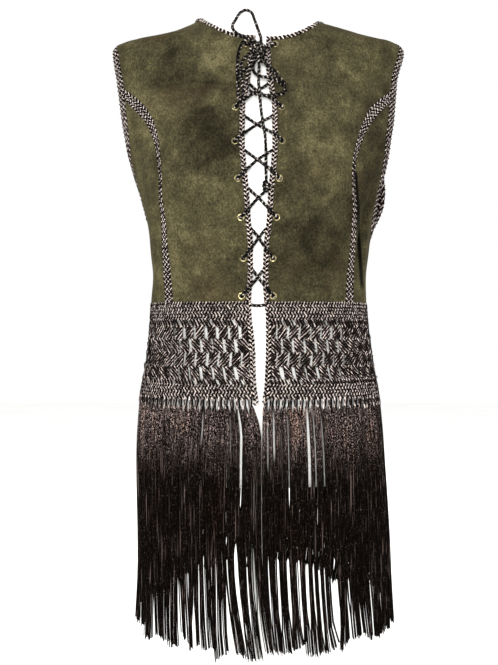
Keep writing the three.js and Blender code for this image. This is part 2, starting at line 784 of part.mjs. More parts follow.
// Half of the lacing. Each span comes out of an eyelet, runs over its own edging, crosses
// the opening, and goes behind the other edge to the next eyelet up. After the last eyelet
// it runs into the knot of the bow.
function lacing(name, firstSide, over) {
  const points = [];
  for (let i = 0; i < EYELET_ROWS.length - 1; i += 1) {
    const here = SIDES[(firstSide + i) % 2];
    const there = SIDES[(firstSide + i + 1) % 2];
    const eye = eyeAt(here, EYELET_ROWS[i]);
    const next = eyeAt(there, EYELET_ROWS[i + 1]);
    const middle = (eye.z + next.z) / 2;
    const crossing = { x: (OPENING.at('left', middle) + OPENING.at('right', middle)) / 2, z: middle };
    const open = edgeOnWay(here, eye, crossing);
    const openNext = edgeOnWay(there, next, crossing);
    if (i === 0) points.push(before(eye.x, eye.z, -SUEDE / 2));
    points.push(before(eye.x, eye.z, SUEDE));
    points.push(onWay(eye, crossing, eye.x - here.sign * TURN, OVER_FLANGE));
    points.push(onWay(eye, crossing, open + here.sign * EDGE_BRAID, OVER_BRAID));
    points.push(onWay(eye, crossing, open - here.sign * PAST, OVER_BRAID));
    points.push(before(crossing.x, middle, over === (i % 2 === 0) ? CROSSING : -CROSSING));
    points.push(onWay(crossing, next, openNext - there.sign * PAST, -OVER_BRAID));
    points.push(onWay(crossing, next, openNext + there.sign * EDGE_BRAID, -OVER_BRAID));
    points.push(onWay(crossing, next, next.x - there.sign * TURN, -OVER_BRAID));
    points.push(before(next.x, next.z, -SUEDE));
  }
  const side = SIDES[(firstSide + EYELET_ROWS.length - 1) % 2];
  const eye = eyeAt(side, EYELET_ROWS[EYELET_ROWS.length - 1]);
  const knot = { x: BOW_KNOT.x, z: BOW_KNOT.z - side.sign * BOW_KNOT.entry };
  points.push(before(eye.x, eye.z, SUEDE));
  points.push(onWay(eye, knot, eye.x - side.sign * TURN, OVER_FLANGE));
  points.push(onWay(eye, knot, knot.x + side.sign * BOW_KNOT.half.across, OVER_FLANGE + PAST));
  points.push(before(knot.x, knot.z, BOW_KNOT.out));
  add(name, clearOfKnot(cord(points, CORD)), rope);
}

// The middle of the lace lies behind the bottom of the opening, between the lowest eyelets.
const TIE = { drop: 12, lead: 3, rise: 3 };

function lacingTie() {
  const [left, right] = SIDES.map((side) => eyeAt(side, EYELET_ROWS[0]));
  const behind = SUEDE / 2 + GAP + CORD;
  const low = EYELET_ROWS[0] - TIE.drop;
  const [leftEdge, rightEdge] = SIDES.map((side) => OPENING.at(side.name, low));
  add('lacing_tie', cord([
    before(left.x - PAST, left.z, -behind),
    before(left.x + TIE.lead, left.z - TURN, -behind - CLEAR.braid),
    before(leftEdge - EDGE_BRAID / 2, low + TIE.rise, -OVER_BRAID),
    before(leftEdge + PAST, low, -OVER_BRAID),
    before(rightEdge - PAST, low, -OVER_BRAID),
    before(rightEdge + EDGE_BRAID / 2, low + TIE.rise, -OVER_BRAID),
    before(right.x - TIE.lead, right.z - TURN, -behind - CLEAR.braid),
    before(right.x + PAST, right.z, -behind),
  ], CORD), rope);
}

// ---- Bow -----------------------------------------------------------------------------

// The free cords that leave the knot. A row is a point of the cord's middle: sideways,
// height, and how far out of the cloth.
const BOW = {
  bow_loop_up: [
    [-3, 965, 8.5], [-8.5, 973.5, 6.6], [-15, 978, 5], [-21.5, 980.5, 4.2], [-30, 985, 4.2],
    [-36.5, 991.5, 4], [-38, 1000, 1.5], [-33.5, 1013, -1.5], [-28, 1023, -2.2], [-19.5, 1028, -2.4],
    [-12, 1023, -2.2], [-7.5, 1011, -1.5], [-3.5, 996, 1], [-0.5, 984, 4.8], [1.5, 975, 7],
    [0, 966, 8.5],
  ],
  bow_loop_left: [
    [-4, 961, 11], [-11, 969, 11.5], [-17, 972.5, 10.8], [-22.5, 970, 9.5], [-27, 962.5, 7],
    [-30, 951, 4.8], [-30.8, 937, 4.6], [-30.6, 925, 5.6], [-29.2, 908, 5], [-28, 894, 6.5],
    [-26.4, 884.5, 9], [-24, 880.5, 12.5], [-22, 884, 16], [-21.5, 895, 16], [-22.2, 912, 12],
    [-22.8, 928, 9.4], [-21.5, 941, 8.5], [-17, 950, 8.5], [-10, 954, 8.5], [-4, 955, 8.5],
  ],
  bow_loop_right: [
    [-3, 951, 8.5], [-7, 941, 8.4], [-9.5, 932, 8], [-7.5, 924.5, 6.4], [0, 920, 5.4],
    [11, 918, 5.6], [21, 915.5, 4], [29, 910, 3.4], [34, 903, 3.4], [31, 896, 4.2],
    [22, 892.5, 6.4], [11, 891, 6.6], [0, 891, 7], [-10, 894.5, 7.6], [-16.5, 902, 6],
    [-18, 913, 5.2], [-16, 925, 7], [-14, 935, 8.4], [-10.5, 944, 8.6], [-5, 953, 8.5],
  ],
  bow_end_short: [
    [1, 953, 9], [5, 944, 9], [10, 935, 8.6], [15.5, 927, 7], [21.5, 920, 8], [27, 914.5, 8],
    [33, 908, 7.8],
  ],
  bow_end_long: [
    [-1, 955, 12], [-1.5, 940, 13], [-1.6, 925, 10.4], [-2.2, 910, 9.8], [-1.2, 894, 11.4],
    [0.6, 874, 8.6], [2.4, 858, 7.6], [5.6, 838, 7.4], [7, 820, 7], [7.2, 800, 7.4],
    [7, 785, 7], [7.4, 774.5, 7],
  ],
};

const knotShape = (room) => {
  const { across, deep, tall } = BOW_KNOT.half;
  const shape = new THREE.SphereGeometry(1, 16, 10);
  shape.scale(across + room, deep + room, tall + room);
  const { x: angle, y: z } = frontSpot(BOW_KNOT.x, BOW_KNOT.z);
  const { out } = clothFrame(angle, z);
  shape.rotateX(Math.atan2(-out.z, -out.y));
  const centre = lifted(angle, z, BOW_KNOT.out);
  return shape.translate(centre.x, centre.y, centre.z);
};

function clearOfKnot(geometry) {
  return toGeometry(toSolid(geometry).subtract(toSolid(knotShape(GAP))));
}

// The long end has a knot of its own, an upright egg just under the cord's last point.
function endKnot() {
  const last = BOW.bow_end_long[BOW.bow_end_long.length - 1];
  const shape = new THREE.SphereGeometry(1, 10, 8);
  shape.scale(END_KNOT.half, END_KNOT.half, END_KNOT.tall);
  const place = before(last[0] - END_KNOT.lean, last[1] - END_KNOT.tall + GAP, last[2] - GAP);
  add('bow_end_knot', shape.translate(place.x, place.y, place.z), rope);
}

lacing('lacing_a', 0, true);
lacing('lacing_b', 1, false);
lacingTie();
add('bow_knot', knotShape(0), rope);
for (const [name, rows] of Object.entries(BOW)) {
  add(name, clearOfKnot(cord(rows.map(([x, z, out]) => before(x, z, out)), CORD)), rope);
}
endKnot();

// ---- Dress form and stand ------------------------------------------------------------

add('form_torso', ovalBody(FORM, 36), jersey);

const poleFoot = BASE.height + GAP;
const poleLength = FORM_FOOT - GAP - poleFoot;
const pole = add('stand_pole', new THREE.CylinderGeometry(POLE, POLE, poleLength, 20), paint);
pole.rotation.x = QUARTER;
pole.position.z = poleFoot + poleLength / 2;

const collarProfile = [
  [POLE + GAP, 0],
  [COLLAR.rim, 0],
  [COLLAR.rim, COLLAR.flat],
  [POLE + COLLAR.wall, COLLAR.slope],
  [POLE + COLLAR.wall, COLLAR.height],
  [POLE + GAP, COLLAR.height],
  [POLE + GAP, 0],
].map(([r, h]) => new THREE.Vector2(r, h));
const collar = add('stand_collar', new THREE.LatheGeometry(collarProfile, 24), paint);
collar.rotation.x = QUARTER;
collar.position.z = BASE.height + GAP;

const baseProfile = [
  [0, 0],
  [BASE.radius, 0],
  [BASE.radius, BASE.height - BASE.edge],
  [BASE.radius - BASE.edge, BASE.height],
  [0, BASE.height],
].map(([r, h]) => new THREE.Vector2(r, h));
const base = add('stand_base', new THREE.LatheGeometry(baseProfile, 48), paint);
base.rotation.x = QUARTER;

export default group;
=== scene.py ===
# %% [markdown]
# # A suede vest on a dress form
#
# Five suede panels are joined and edged with crocheted braid. A crocheted openwork band
# goes round the waist, a long yarn fringe is knotted into it, and a two-coloured cord
# laces the front through brass eyelets and ends in a bow. A limbless dress form fills it.
#
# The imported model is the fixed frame. Shapes are worked out in millimetres on the same
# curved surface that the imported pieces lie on, and become metres when a mesh is made.

# %% The frame
import math

import bpy
import numpy as np
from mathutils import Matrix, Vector

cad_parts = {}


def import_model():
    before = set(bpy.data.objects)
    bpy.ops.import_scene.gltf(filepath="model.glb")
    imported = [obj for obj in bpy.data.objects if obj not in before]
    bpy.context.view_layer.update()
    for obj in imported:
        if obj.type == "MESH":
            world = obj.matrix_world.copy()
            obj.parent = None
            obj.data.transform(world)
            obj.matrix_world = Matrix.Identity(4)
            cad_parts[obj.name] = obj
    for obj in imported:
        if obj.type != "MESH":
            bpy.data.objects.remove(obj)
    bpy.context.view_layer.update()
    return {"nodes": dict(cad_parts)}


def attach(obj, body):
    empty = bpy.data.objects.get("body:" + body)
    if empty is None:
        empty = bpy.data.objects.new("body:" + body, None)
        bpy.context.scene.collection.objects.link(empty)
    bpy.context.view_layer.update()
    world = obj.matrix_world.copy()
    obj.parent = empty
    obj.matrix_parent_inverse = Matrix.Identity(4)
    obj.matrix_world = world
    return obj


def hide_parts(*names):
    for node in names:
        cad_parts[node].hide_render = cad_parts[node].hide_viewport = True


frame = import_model()
MM = 0.001
print("packed nodes:", len(frame["nodes"]))

# %% [markdown]
# The camera comes first. It stands level with the waist, a little to the left of the
# middle, at about the distance from which one looks at a whole garment.

# %% Camera
EYE = (-15.2, -1300, 575)
LENS = 48.54

camera = bpy.data.objects.new("camera", bpy.data.cameras.new("camera"))
camera.data.lens = LENS
camera.data.sensor_width = 36
camera.location = [c * MM for c in EYE]
camera.rotation_euler = (math.radians(90), 0, 0)
bpy.context.scene.collection.objects.link(camera)
bpy.context.scene.camera = camera

# %% [markdown]
# ## The surface of the worn cloth
#
# A worn garment is easiest to describe by level sections. Each row of a table is one
# section: how far the cloth reaches to each side, to the front and to the back, and how
# round its corners are. A smooth curve that never overshoots joins the rows.


# %% Tables
class Table:
    """Rows of named columns. The first column is the height, from the top down."""

    def __init__(self, columns, rows):
        self.columns = columns
        self.rows = np.array(rows, float)
        rises = np.diff(self.rows, axis=0) / np.diff(self.rows[:, :1], axis=0)
        before, after = rises[:-1], rises[1:]
        total = np.where(before * after > 0, before + after, 1)
        self.slopes = np.zeros_like(self.rows)
        self.slopes[1:-1] = np.where(before * after > 0, 2 * before * after / total, 0)

    def at(self, column, z):
        c = self.columns.index(column)
        heights = self.rows[:, 0]
        z = np.clip(z, heights[-1], heights[0])
        i = np.clip(np.searchsorted(-heights, -z, side="right") - 1, 0, len(heights) - 2)
        step = heights[i + 1] - heights[i]
        t = (z - heights[i]) / step
        blend = t * t * (3 - 2 * t)
        rise = t * (1 - t) ** 2 * step * self.slopes[i, c]
        fall = t * t * (1 - t) * step * self.slopes[i + 1, c]
        return self.rows[i, c] * (1 - blend) + self.rows[i + 1, c] * blend + rise - fall


CLOTH = Table(["z", "left", "right", "front", "back", "round"], [
    [1034, 72, 54, 45, 50, 2],
    [1026, 88, 72, 49, 54, 2],
    [1018, 97, 87, 51, 57, 2],
    [1009, 117, 121, 55, 62, 2],
    [1003, 134, 143, 57, 65, 2],
    [996, 166, 167, 59.5, 68, 2],
    [991, 195, 194, 61, 70.5, 2],
    [986, 207, 203, 62.5, 72.5, 2],
    [977, 211.5, 208, 65, 75, 2.05],
    [930, 208, 200.5, 79, 87, 2.15],
    [880, 203, 200, 95, 94, 2.2],
    [840, 193, 193.5, 106, 96, 2.25],
    [800, 180, 181.5, 115.5, 95, 2.3],
    [765, 169, 169.5, 120, 92.5, 2.3],
    [720, 160.5, 158.4, 116.5, 88, 2.3],
    [690, 158, 154.8, 110, 87, 2.35],
    [655, 154.5, 152, 102, 88, 2.4],
    [616, 155.5, 153, 97, 91, 2.4],
    [550, 160.5, 160, 99, 100, 2.35],
    [476, 172, 172, 108, 111, 2.3],
    [400, 176, 178, 115, 118, 2.25],
    [245, 173, 186, 118.5, 119, 2.2],
    [140, 177, 187, 121, 119, 2.2],
])

# %% [markdown]
# Folds are soft ridges and troughs laid over the sections. The large ones are those of
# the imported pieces, and a sharper one is added in the tuck by the right seam. The small
# creases are only about a millimetre deep, and as uneven in length and spacing as worn
# suede shows them. The angle goes round from the centre front, positive to the right of
# someone who faces the vest.

# %% Folds and creases
FOLDS = [  # angle, spread, height, reach, depth, slant
    [104, 26, 764, 72, 22, 0],
    [106, 28, 860, 90, 6, 0],
    [68, 8, 715, 95, -5, 0],
    [69, 3.2, 722, 92, -6, 5],
    [-84, 10, 690, 75, -4, 0],
    [-40, 34, 925, 14, -1.6, 0],
    [128, 12, 690, 95, -4, 0],
    [-140, 11, 700, 90, -4, 0],
]
CREASES = [
    [-42, 36, 914, 7, -1.3, 3],
    [-40, 30, 921, 6, 0.7, 3],
    [-58, 16, 760, 34, 1.5, 26],
    [-36, 26, 712, 16, 1.1, -14],
    [-62, 5, 670, 46, 1.4, 8],
    [-22, 20, 660, 20, 0.9, 10],
    [34, 24, 735, 18, 1.2, 16],
    [50, 6, 680, 60, 1.5, -8],
    [26, 22, 668, 14, 0.9, -9],
    [46, 16, 880, 40, 1.2, -18],
    [-44, 14, 850, 50, 1.2, 16],
    [-70, 4, 740, 60, 1.6, 0],
    [-100, 5, 700, 64, 1.8, 4],
    [-78, 4, 800, 50, 1.4, -3],
    [84, 4, 700, 60, 1.6, 3],
    [112, 5, 690, 52, 1.6, -4],
    [150, 16, 800, 26, 1.6, 14],
    [200, 14, 730, 20, 1.5, -16],
    [176, 20, 690, 16, 1.3, 8],
    [165, 8, 880, 50, 1.3, -10],
    [214, 9, 860, 46, 1.4, 12],
]


def relief(angle, z):
    """How far the folds and creases move the cloth out, in millimetres."""
    depth = np.zeros(np.broadcast(angle, z).shape)
    for middle, spread, height, reach, tall, slant in FOLDS + CREASES:
        along = (z - height) / reach
        turn = np.degrees(angle) - middle - slant * along / 2
        across = ((turn + 180) % 360 - 180) / spread
        inside = (abs(across) < 1) & (abs(along) < 1)
        depth += np.where(inside, tall * (1 - across**2) ** 2 * (1 - along**2) ** 2, 0)
    return depth


def oval(angle, width, depth, corner):
    """The radius at an angle of a rounded section of half width and half depth."""
    sideways = abs(np.sin(angle)) / width
    forward = abs(np.cos(angle)) / depth
    return (sideways**corner + forward**corner) ** (-1 / corner)


def on_cloth(angle, z):
    angle, z = np.broadcast_arrays(np.asarray(angle, float), np.asarray(z, float))
    width = np.where(np.sin(angle) < 0, CLOTH.at("left", z), CLOTH.at("right", z))
    depth = np.where(np.cos(angle) > 0, CLOTH.at("front", z), CLOTH.at("back", z))
    radius = oval(angle, width, depth, CLOTH.at("round", z)) + relief(angle, z)
    return np.stack([radius * np.sin(angle), -radius * np.cos(angle), z], -1)


def circle(count):
    """The angles of evenly spaced places round a circle."""
    return np.linspace(0, 2 * math.pi, count, endpoint=False)


def unit(vectors):
    return vectors / np.maximum(np.linalg.norm(vectors, axis=-1, keepdims=True), 1e-9)


def surface_frame(angle, z):
    """Steps along the cloth as the angle and the height grow, and the way out of it."""
    turn, rise = 0.004, 0.4
    round_ = (on_cloth(angle + turn, z) - on_cloth(angle - turn, z)) / (2 * turn)
    up = (on_cloth(angle, z + rise) - on_cloth(angle, z - rise)) / (2 * rise)
    return round_, up, unit(np.cross(round_, up))


def lifted(spots, out):
    """Points a given distance out of the cloth at an array of spots (angle, height)."""
    angle, z = np.moveaxis(np.asarray(spots, float), -1, 0)
    away = surface_frame(angle, z)[2]
    return on_cloth(angle, z) + away * np.asarray(out, float)[..., None]


# %% [markdown]
# A place on the cloth is a spot: its angle and its height. Front, back and side views
# give places more naturally as a sideways distance and a height, so two helpers turn
# those into spots, and others run smooth lines through spots and move lines sideways
# over the surface. Sewn pieces share these lines, which keeps their edges together.


# %% Places and lines on the cloth
def flat_spot(x, z, facing):
    """The spot at a sideways place x on the front (facing 1) or the back (facing -1)."""
    x, z = np.broadcast_arrays(np.asarray(x, float), np.asarray(z, float))
    width = np.where(x < 0, CLOTH.at("left", z), CLOTH.at("right", z))
    corner = CLOTH.at("round", z)
    share = np.minimum(abs(x) / width, 1)
    depth = CLOTH.at("front" if facing > 0 else "back", z)
    return np.stack([np.arctan2(x, facing * depth * (1 - share**corner) ** (1 / corner)), z], -1)


def side_spot(side, y, z):
    """The spot on one side at a place y from front to back."""
    depth = CLOTH.at("front" if y < 0 else "back", z)
    corner = CLOTH.at("round", z)
    x = CLOTH.at(side, z) * (1 - (abs(y) / depth) ** corner) ** (1 / corner)
    return np.array([SIGN[side] * math.atan2(x, -y), z])


def smooth_line(points, per_span, closed=False):
    """A centripetal Catmull-Rom curve through points, with per_span steps between them."""
    points = np.asarray(points, float)
    if closed:
        padded = np.concatenate([points[-1:], points, points[:2]])
    else:
        first, last = 2 * points[0] - points[1], 2 * points[-1] - points[-2]
        padded = np.concatenate([[first], points, [last]])
    t = np.linspace(0, 1, per_span, endpoint=False)[:, None]
    spans = []
    for i in range(len(padded) - 3):
        p0, p1, p2, p3 = padded[i:i + 4]
        steps = np.linalg.norm(np.diff([p0, p1, p2, p3], axis=0), axis=1)
        d0, d1, d2 = np.maximum(steps ** 0.5, 1e-4)
        m1 = ((p1 - p0) / d0 - (p2 - p0) / (d0 + d1) + (p2 - p1) / d1) * d1
        m2 = ((p2 - p1) / d1 - (p3 - p1) / (d1 + d2) + (p3 - p2) / d2) * d1
        spans.append(p1 + m1 * t + (3 * (p2 - p1) - 2 * m1 - m2) * t**2
                     + (2 * (p1 - p2) + m1 + m2) * t**3)
    spans.append(padded[-2:-1])
    return np.concatenate(spans)


def lengths(points):
    """The distance along a line of points at each of them."""
    return np.concatenate([[0], np.cumsum(np.linalg.norm(np.diff(points, axis=0), axis=1))])


def resampled(values, by, count):
    """Values along a line, taken at count evenly spaced places of the measure by."""
    places = np.linspace(by[0], by[-1], count)
    return np.stack([np.interp(places, by, values[:, c]) for c in range(values.shape[1])], -1)


def spaced_spots(spots, count, closed=False):
    line = smooth_line(on_cloth(*spots.T), 40, closed)
    line = resampled(line, lengths(line), count + 1)
    return np.stack([np.arctan2(line[:, 0], -line[:, 1]), line[:, 2]], -1)


def moved(spots, distance, closed=False):
    """Spots moved over the surface, to the left of the way they run as seen from outside."""
    at = on_cloth(*spots.T)
    if closed:
        along = np.roll(at, -1, axis=0) - np.roll(at, 1, axis=0)
    else:
        along = np.concatenate([at[1:2] - at[:1], at[2:] - at[:-2], at[-1:] - at[-2:-1]])
    round_, up, out = surface_frame(*spots.T)
    left = unit(np.cross(out, along))
    rr, uu, ru = (round_**2).sum(-1), (up**2).sum(-1), (round_ * up).sum(-1)
    across, rise = (round_ * left).sum(-1), (up * left).sum(-1)
    area = rr * uu - ru**2
    turned = (across * uu - rise * ru) / area
    raised = (rise * rr - across * ru) / area
    return spots + np.stack([turned, raised], -1) * np.reshape(distance, (-1, 1))


def between(a, b, share):
    """The value a share of the way from a to b."""
    return a + (b - a) * share


def straight(a, b, count):
    """A straight line of spots from a to b, in count steps."""
    a, b = np.asarray([a, b], float)
    return between(a, b, np.linspace(0, 1, count + 1)[:, None])


SIGN = {"left": -1, "right": 1}
print("cloth width at the waist:", CLOTH.at("left", 616.0) + CLOTH.at("right", 616.0), "mm")

# %% [markdown]
# The seam lines are the pattern pieces' edges. They are worked out as for the packed
# pieces, from short tables, coarsely at first and then refined, so that the finer meshes
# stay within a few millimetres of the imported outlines.

# %% Sizes of the cut
GAP = 0.3
SUEDE = 1.6
BRAID = 3.0
SUEDE_HEM = 616
BAND_HEM = 476
NECKLINE = {
    "left": {"front": 985, "point": 1026, "half": 88, "curve": 2.3},
    "right": {"front": 983, "point": 1018, "half": 87, "curve": 2.4},
}
BACK_NECK = {"height": 1004, "curve": 2.4}
NECK_BRAID = 5
ARM_BRAID = 14
EDGE_BRAID = 6.6

OPENING = Table(["z", "left", "right"], [
    [983, -6, 9],
    [955, -9, 7],
    [905, -16, 12],
    [882, -20.5, 15.8],
    [828, -21, 16],
    [789, -18, 13],
    [758, -15, 10],
    [727, -13, 8.5],
    [690, -10, 4.5],
    [655, -10, 3.5],
    [616, -12.5, 5],
    [600, -12, 7.5],
    [558, -7.5, 7.5],
    [504, -5.5, 5.5],
    [476, -2, 2],
])
FRONT_SEAM = Table(["z", "left", "right", "braid"], [
    [883, 164, 159.5, 13.5],
    [862, 150, 145.5, 10.5],
    [838, 141.5, 135.5, 7],
    [808, 137, 127, 4.4],
    [780, 134.5, 125.5, 4],
    [735, 132, 128, 7.4],
    [690, 129, 126.4, 10.8],
    [655, 126.6, 124, 12.8],
    [616, 125.6, 122.8, 14.4],
])
BACK_SEAM = Table(["z", "left", "right", "braid"], [
    [870, 134, 138, 10],
    [830, 124, 127, 6],
    [780, 117, 119, 5],
    [735, 113, 115, 7],
    [690, 110, 112, 8],
    [655, 108, 110, 9],
    [616, 106, 108, 12],
])
ARMHOLE = {  # (y, z) round the free edge, down the front and up the back
    "left": [(0, 984), (-13, 956), (-24, 914), (-31, 873), (-29, 842), (-19, 812), (-6, 786),
             (6, 762), (19, 745), (32, 743), (42, 762), (48, 800), (50, 850), (44, 905), (25, 951)],
    "right": [(0, 984), (-13, 958), (-25, 916), (-36, 878), (-41, 845), (-38, 808), (-27, 768),
              (-13, 734), (1, 718), (14, 719), (25, 746), (36, 800), (43, 852), (42, 905), (24, 953)],
}
# Each line of the cut has a few steps, and each step is divided into FINE small ones. A
# curved seam meets the armhole CORNER steps down from the shoulder.
LOOP = 36
CORNER = 5
SEAM = 10
NECK_FRONT = 6
NECK_BACK = 10
SHOULDER = 5
FINE = 5

# %% Neckline and armholes
QUARTER = math.pi / 2


def on_crest(spots, *places):
    """Spots with some of them moved onto the crest of the shoulder."""
    for i in places:
        spots[i, 0] = QUARTER * round(spots[i, 0] / QUARTER)
    return spots


def unwound(spots):
    """Angles at the back carry on past half a turn instead of jumping to minus."""
    turned = np.where(spots[:, 0] < 0, spots[:, 0] + 2 * math.pi, spots[:, 0])
    return np.stack([turned, spots[:, 1]], -1)


def front_neckline(side):
    cut = NECKLINE[side]
    opening = abs(OPENING.at(side, cut["front"]))
    first = opening + EDGE_BRAID + GAP
    x = first + (cut["half"] - first) * np.array([0, 0.3, 0.56, 0.76, 0.9, 0.97, 1])
    rise = ((x - opening) / (cut["half"] - opening)) ** cut["curve"]
    spots = flat_spot(SIGN[side] * x, cut["front"] + (cut["point"] - cut["front"]) * rise, 1)
    corner = flat_spot(SIGN[side] * opening, cut["front"], 1)
    return np.concatenate([corner[None], spaced_spots(spots, NECK_FRONT)])


def back_neckline():
    shares = np.array([1, 0.96, 0.86, 0.66, 0.36, 0, -0.36, -0.66, -0.86, -0.96, -1])
    low, curve = BACK_NECK["height"], BACK_NECK["curve"]
    spots = []
    for share in shares:
        cut = NECKLINE["left" if share < 0 else "right"]
        height = low + (cut["point"] - low) * abs(share) ** curve
        spots.append(flat_spot(share * cut["half"], height, -1))
    return unwound(spaced_spots(np.array(spots), NECK_BACK))


NECK_RIGHT = NECK_FRONT + 1
NECK_LEFT = NECK_RIGHT + NECK_BACK
neck_free = np.concatenate([
    front_neckline("right"), back_neckline()[1:], unwound(front_neckline("left"))[::-1][1:]])
neck_sewn = on_crest(moved(neck_free, -NECK_BRAID), NECK_RIGHT, NECK_LEFT)
neck_cut = on_crest(moved(neck_free, -NECK_BRAID - GAP), NECK_RIGHT, NECK_LEFT)


def seam_rails(table, side, facing, cut, corner, beside):
    """The two edges of the braid in a curved seam, from the hem to the armhole."""
    heights = table.rows[::-1, 0]
    spots = flat_spot(SIGN[side] * table.at(side, heights), heights, facing)
    spots = np.concatenate([spots, [between(cut[corner], cut[beside], 0.5)]])
    middle = spaced_spots(spots, SEAM)
    half = table.at("braid", middle[:, 1]) / 2 * facing * SIGN[side]
    inner, outer = moved(middle, half), moved(middle, -half)
    inner[-1], outer[-1] = cut[corner], cut[beside]
    inner[0, 1] = outer[0, 1] = SUEDE_HEM
    return smooth_line(inner, FINE), smooth_line(outer, FINE)


def seam_lines(side):
    """The lines of one side: the armhole's three rings and the rails of both seams."""
    sign = SIGN[side]
    loop = np.array([side_spot(side, y, z) for y, z in ARMHOLE[side]])
    free = on_crest(spaced_spots(loop, LOOP, True)[:LOOP], 0)
    halfway = moved(free, -sign * ARM_BRAID / 2, True)
    sewn = on_crest(moved(halfway, -sign * ARM_BRAID / 2, True), 0)
    cut = on_crest(moved(sewn, -sign * 2 * GAP, True), 0)
    front = seam_rails(FRONT_SEAM, side, 1, cut, CORNER, CORNER + 1)
    back = seam_rails(BACK_SEAM, side, -1, cut, LOOP - CORNER, LOOP - CORNER - 1)
    free, sewn, cut = [smooth_line(line, FINE, True) for line in (free, sewn, cut)]
    return {"free": free, "sewn": sewn, "cut": cut, "front": front, "back": back}


seams = {side: seam_lines(side) for side in SIGN}
neck_free, neck_sewn, neck_cut = [
    smooth_line(line, FINE) for line in (neck_free, neck_sewn, neck_cut)]
print("armhole points:", len(seams["left"]["cut"]), "neckline points:", len(neck_cut))

# %% [markdown]
# ## Finishes
#
# A small class wraps a node's output so that arithmetic on it adds Math nodes. A second
# one is a tree of nodes, and one method of it adds any other node. They serve materials
# and Geometry Nodes alike.


# %% Node trees from expressions
class Socket:
    """A node's output. Arithmetic on it adds Math nodes to its tree."""

    def __init__(self, tree, socket):
        self.tree = tree
        self.socket = socket


def operator(operation, turned=False):
    """The method that adds a Math node for one sign, with its sides swapped if turned."""
    def method(self, other):
        return self.tree.maths(operation, *((other, self) if turned else (self, other)))
    return method


for sign, operation in {"add": "ADD", "sub": "SUBTRACT", "mul": "MULTIPLY", "truediv": "DIVIDE",
                        "pow": "POWER", "gt": "GREATER_THAN", "lt": "LESS_THAN"}.items():
    setattr(Socket, f"__{sign}__", operator(operation))
    if sign in ("add", "sub", "mul"):
        setattr(Socket, f"__r{sign}__", operator(operation, True))


class Tree:
    """A node tree, and the one way in which nodes are added to it."""

    def __init__(self, nodes):
        self.tree = nodes

    def add(self, kind, values=None, output=0, **settings):
        """The numbered output of a new node, whose inputs take numbers or other outputs."""
        node = self.tree.nodes.new(kind)
        for name, value in settings.items():
            setattr(node, name, value)
        for name, value in (values or {}).items():
            if isinstance(value, Socket):
                self.tree.links.new(value.socket, node.inputs[name])
            else:
                node.inputs[name].default_value = value
        return Socket(self, node.outputs[output])

    def maths(self, operation, *values):
        return self.add("ShaderNodeMath", dict(enumerate(values)), operation=operation)

    def mix(self, a, b, share):
        return self.add("ShaderNodeMix", {0: share, 6: a, 7: b}, 2, data_type="RGBA")

    def smooth(self, value, low, high):
        return self.add("ShaderNodeMapRange", {
            "Value": value, "From Min": low, "From Max": high}, interpolation_type="SMOOTHSTEP")

    def noise(self, vector, scale, detail=2.0, roughness=0.5):
        return self.add("ShaderNodeTexNoise", {
            "Vector": vector, "Scale": scale, "Detail": detail, "Roughness": roughness})

    def place(self):
        """Where a point of the surface lies, in the object's own metres."""
        return self.add("ShaderNodeTexCoord", output=3)

    def axes(self, vector):
        parts = self.add("ShaderNodeSeparateXYZ", {0: vector})
        return [Socket(self, part) for part in parts.socket.node.outputs]

    def stretched(self, vector, *scale):
        return self.add("ShaderNodeMapping", {"Vector": vector, "Scale": scale})

    def spotted(self, base, spots, scale, low, high, detail=2.0, roughness=0.5):
        """A colour with noise spots of another in it, and how strongly they show."""
        share = self.smooth(self.noise(self.place(), scale, detail, roughness), low, high)
        return self.mix(base, spots, share), share

    def ramp(self, value, *stops):
        """A colour for the value, from stops of (value, colour)."""
        made = self.add("ShaderNodeValToRGB", {0: value})
        elements = made.socket.node.color_ramp.elements
        while len(elements) < len(stops):
            elements.new(0.5)
        for element, (position, colour) in zip(elements, stops):
            element.position = position
            element.color = colour
        return made

    def bump(self, strength, distance, height):
        return self.add("ShaderNodeBump", {
            "Strength": strength, "Distance": distance, "Height": height})


def paint(red, green, blue):
    """A display colour, 0 to 255, as the linear colour that shaders use."""
    shares = [c / 255 for c in (red, green, blue)]
    return [c / 12.92 if c <= 0.04045 else ((c + 0.055) / 1.055) ** 2.4 for c in shares] + [1]


class Look(Tree):
    """The tree of a new material. Constants and finished sockets go into its surface."""

    def __init__(self, name, **constants):
        self.material = bpy.data.materials.new(name)
        self.material.use_nodes = True
        super().__init__(self.material.node_tree)
        self.inputs = self.tree.nodes["Principled BSDF"].inputs
        for socket, value in constants.items():
            self.inputs[socket.replace("_", " ")].default_value = value

    def finish(self, **sockets):
        for name, value in sockets.items():
            self.tree.links.new(value.socket, self.inputs[name.replace("_", " ")])
        return self.material
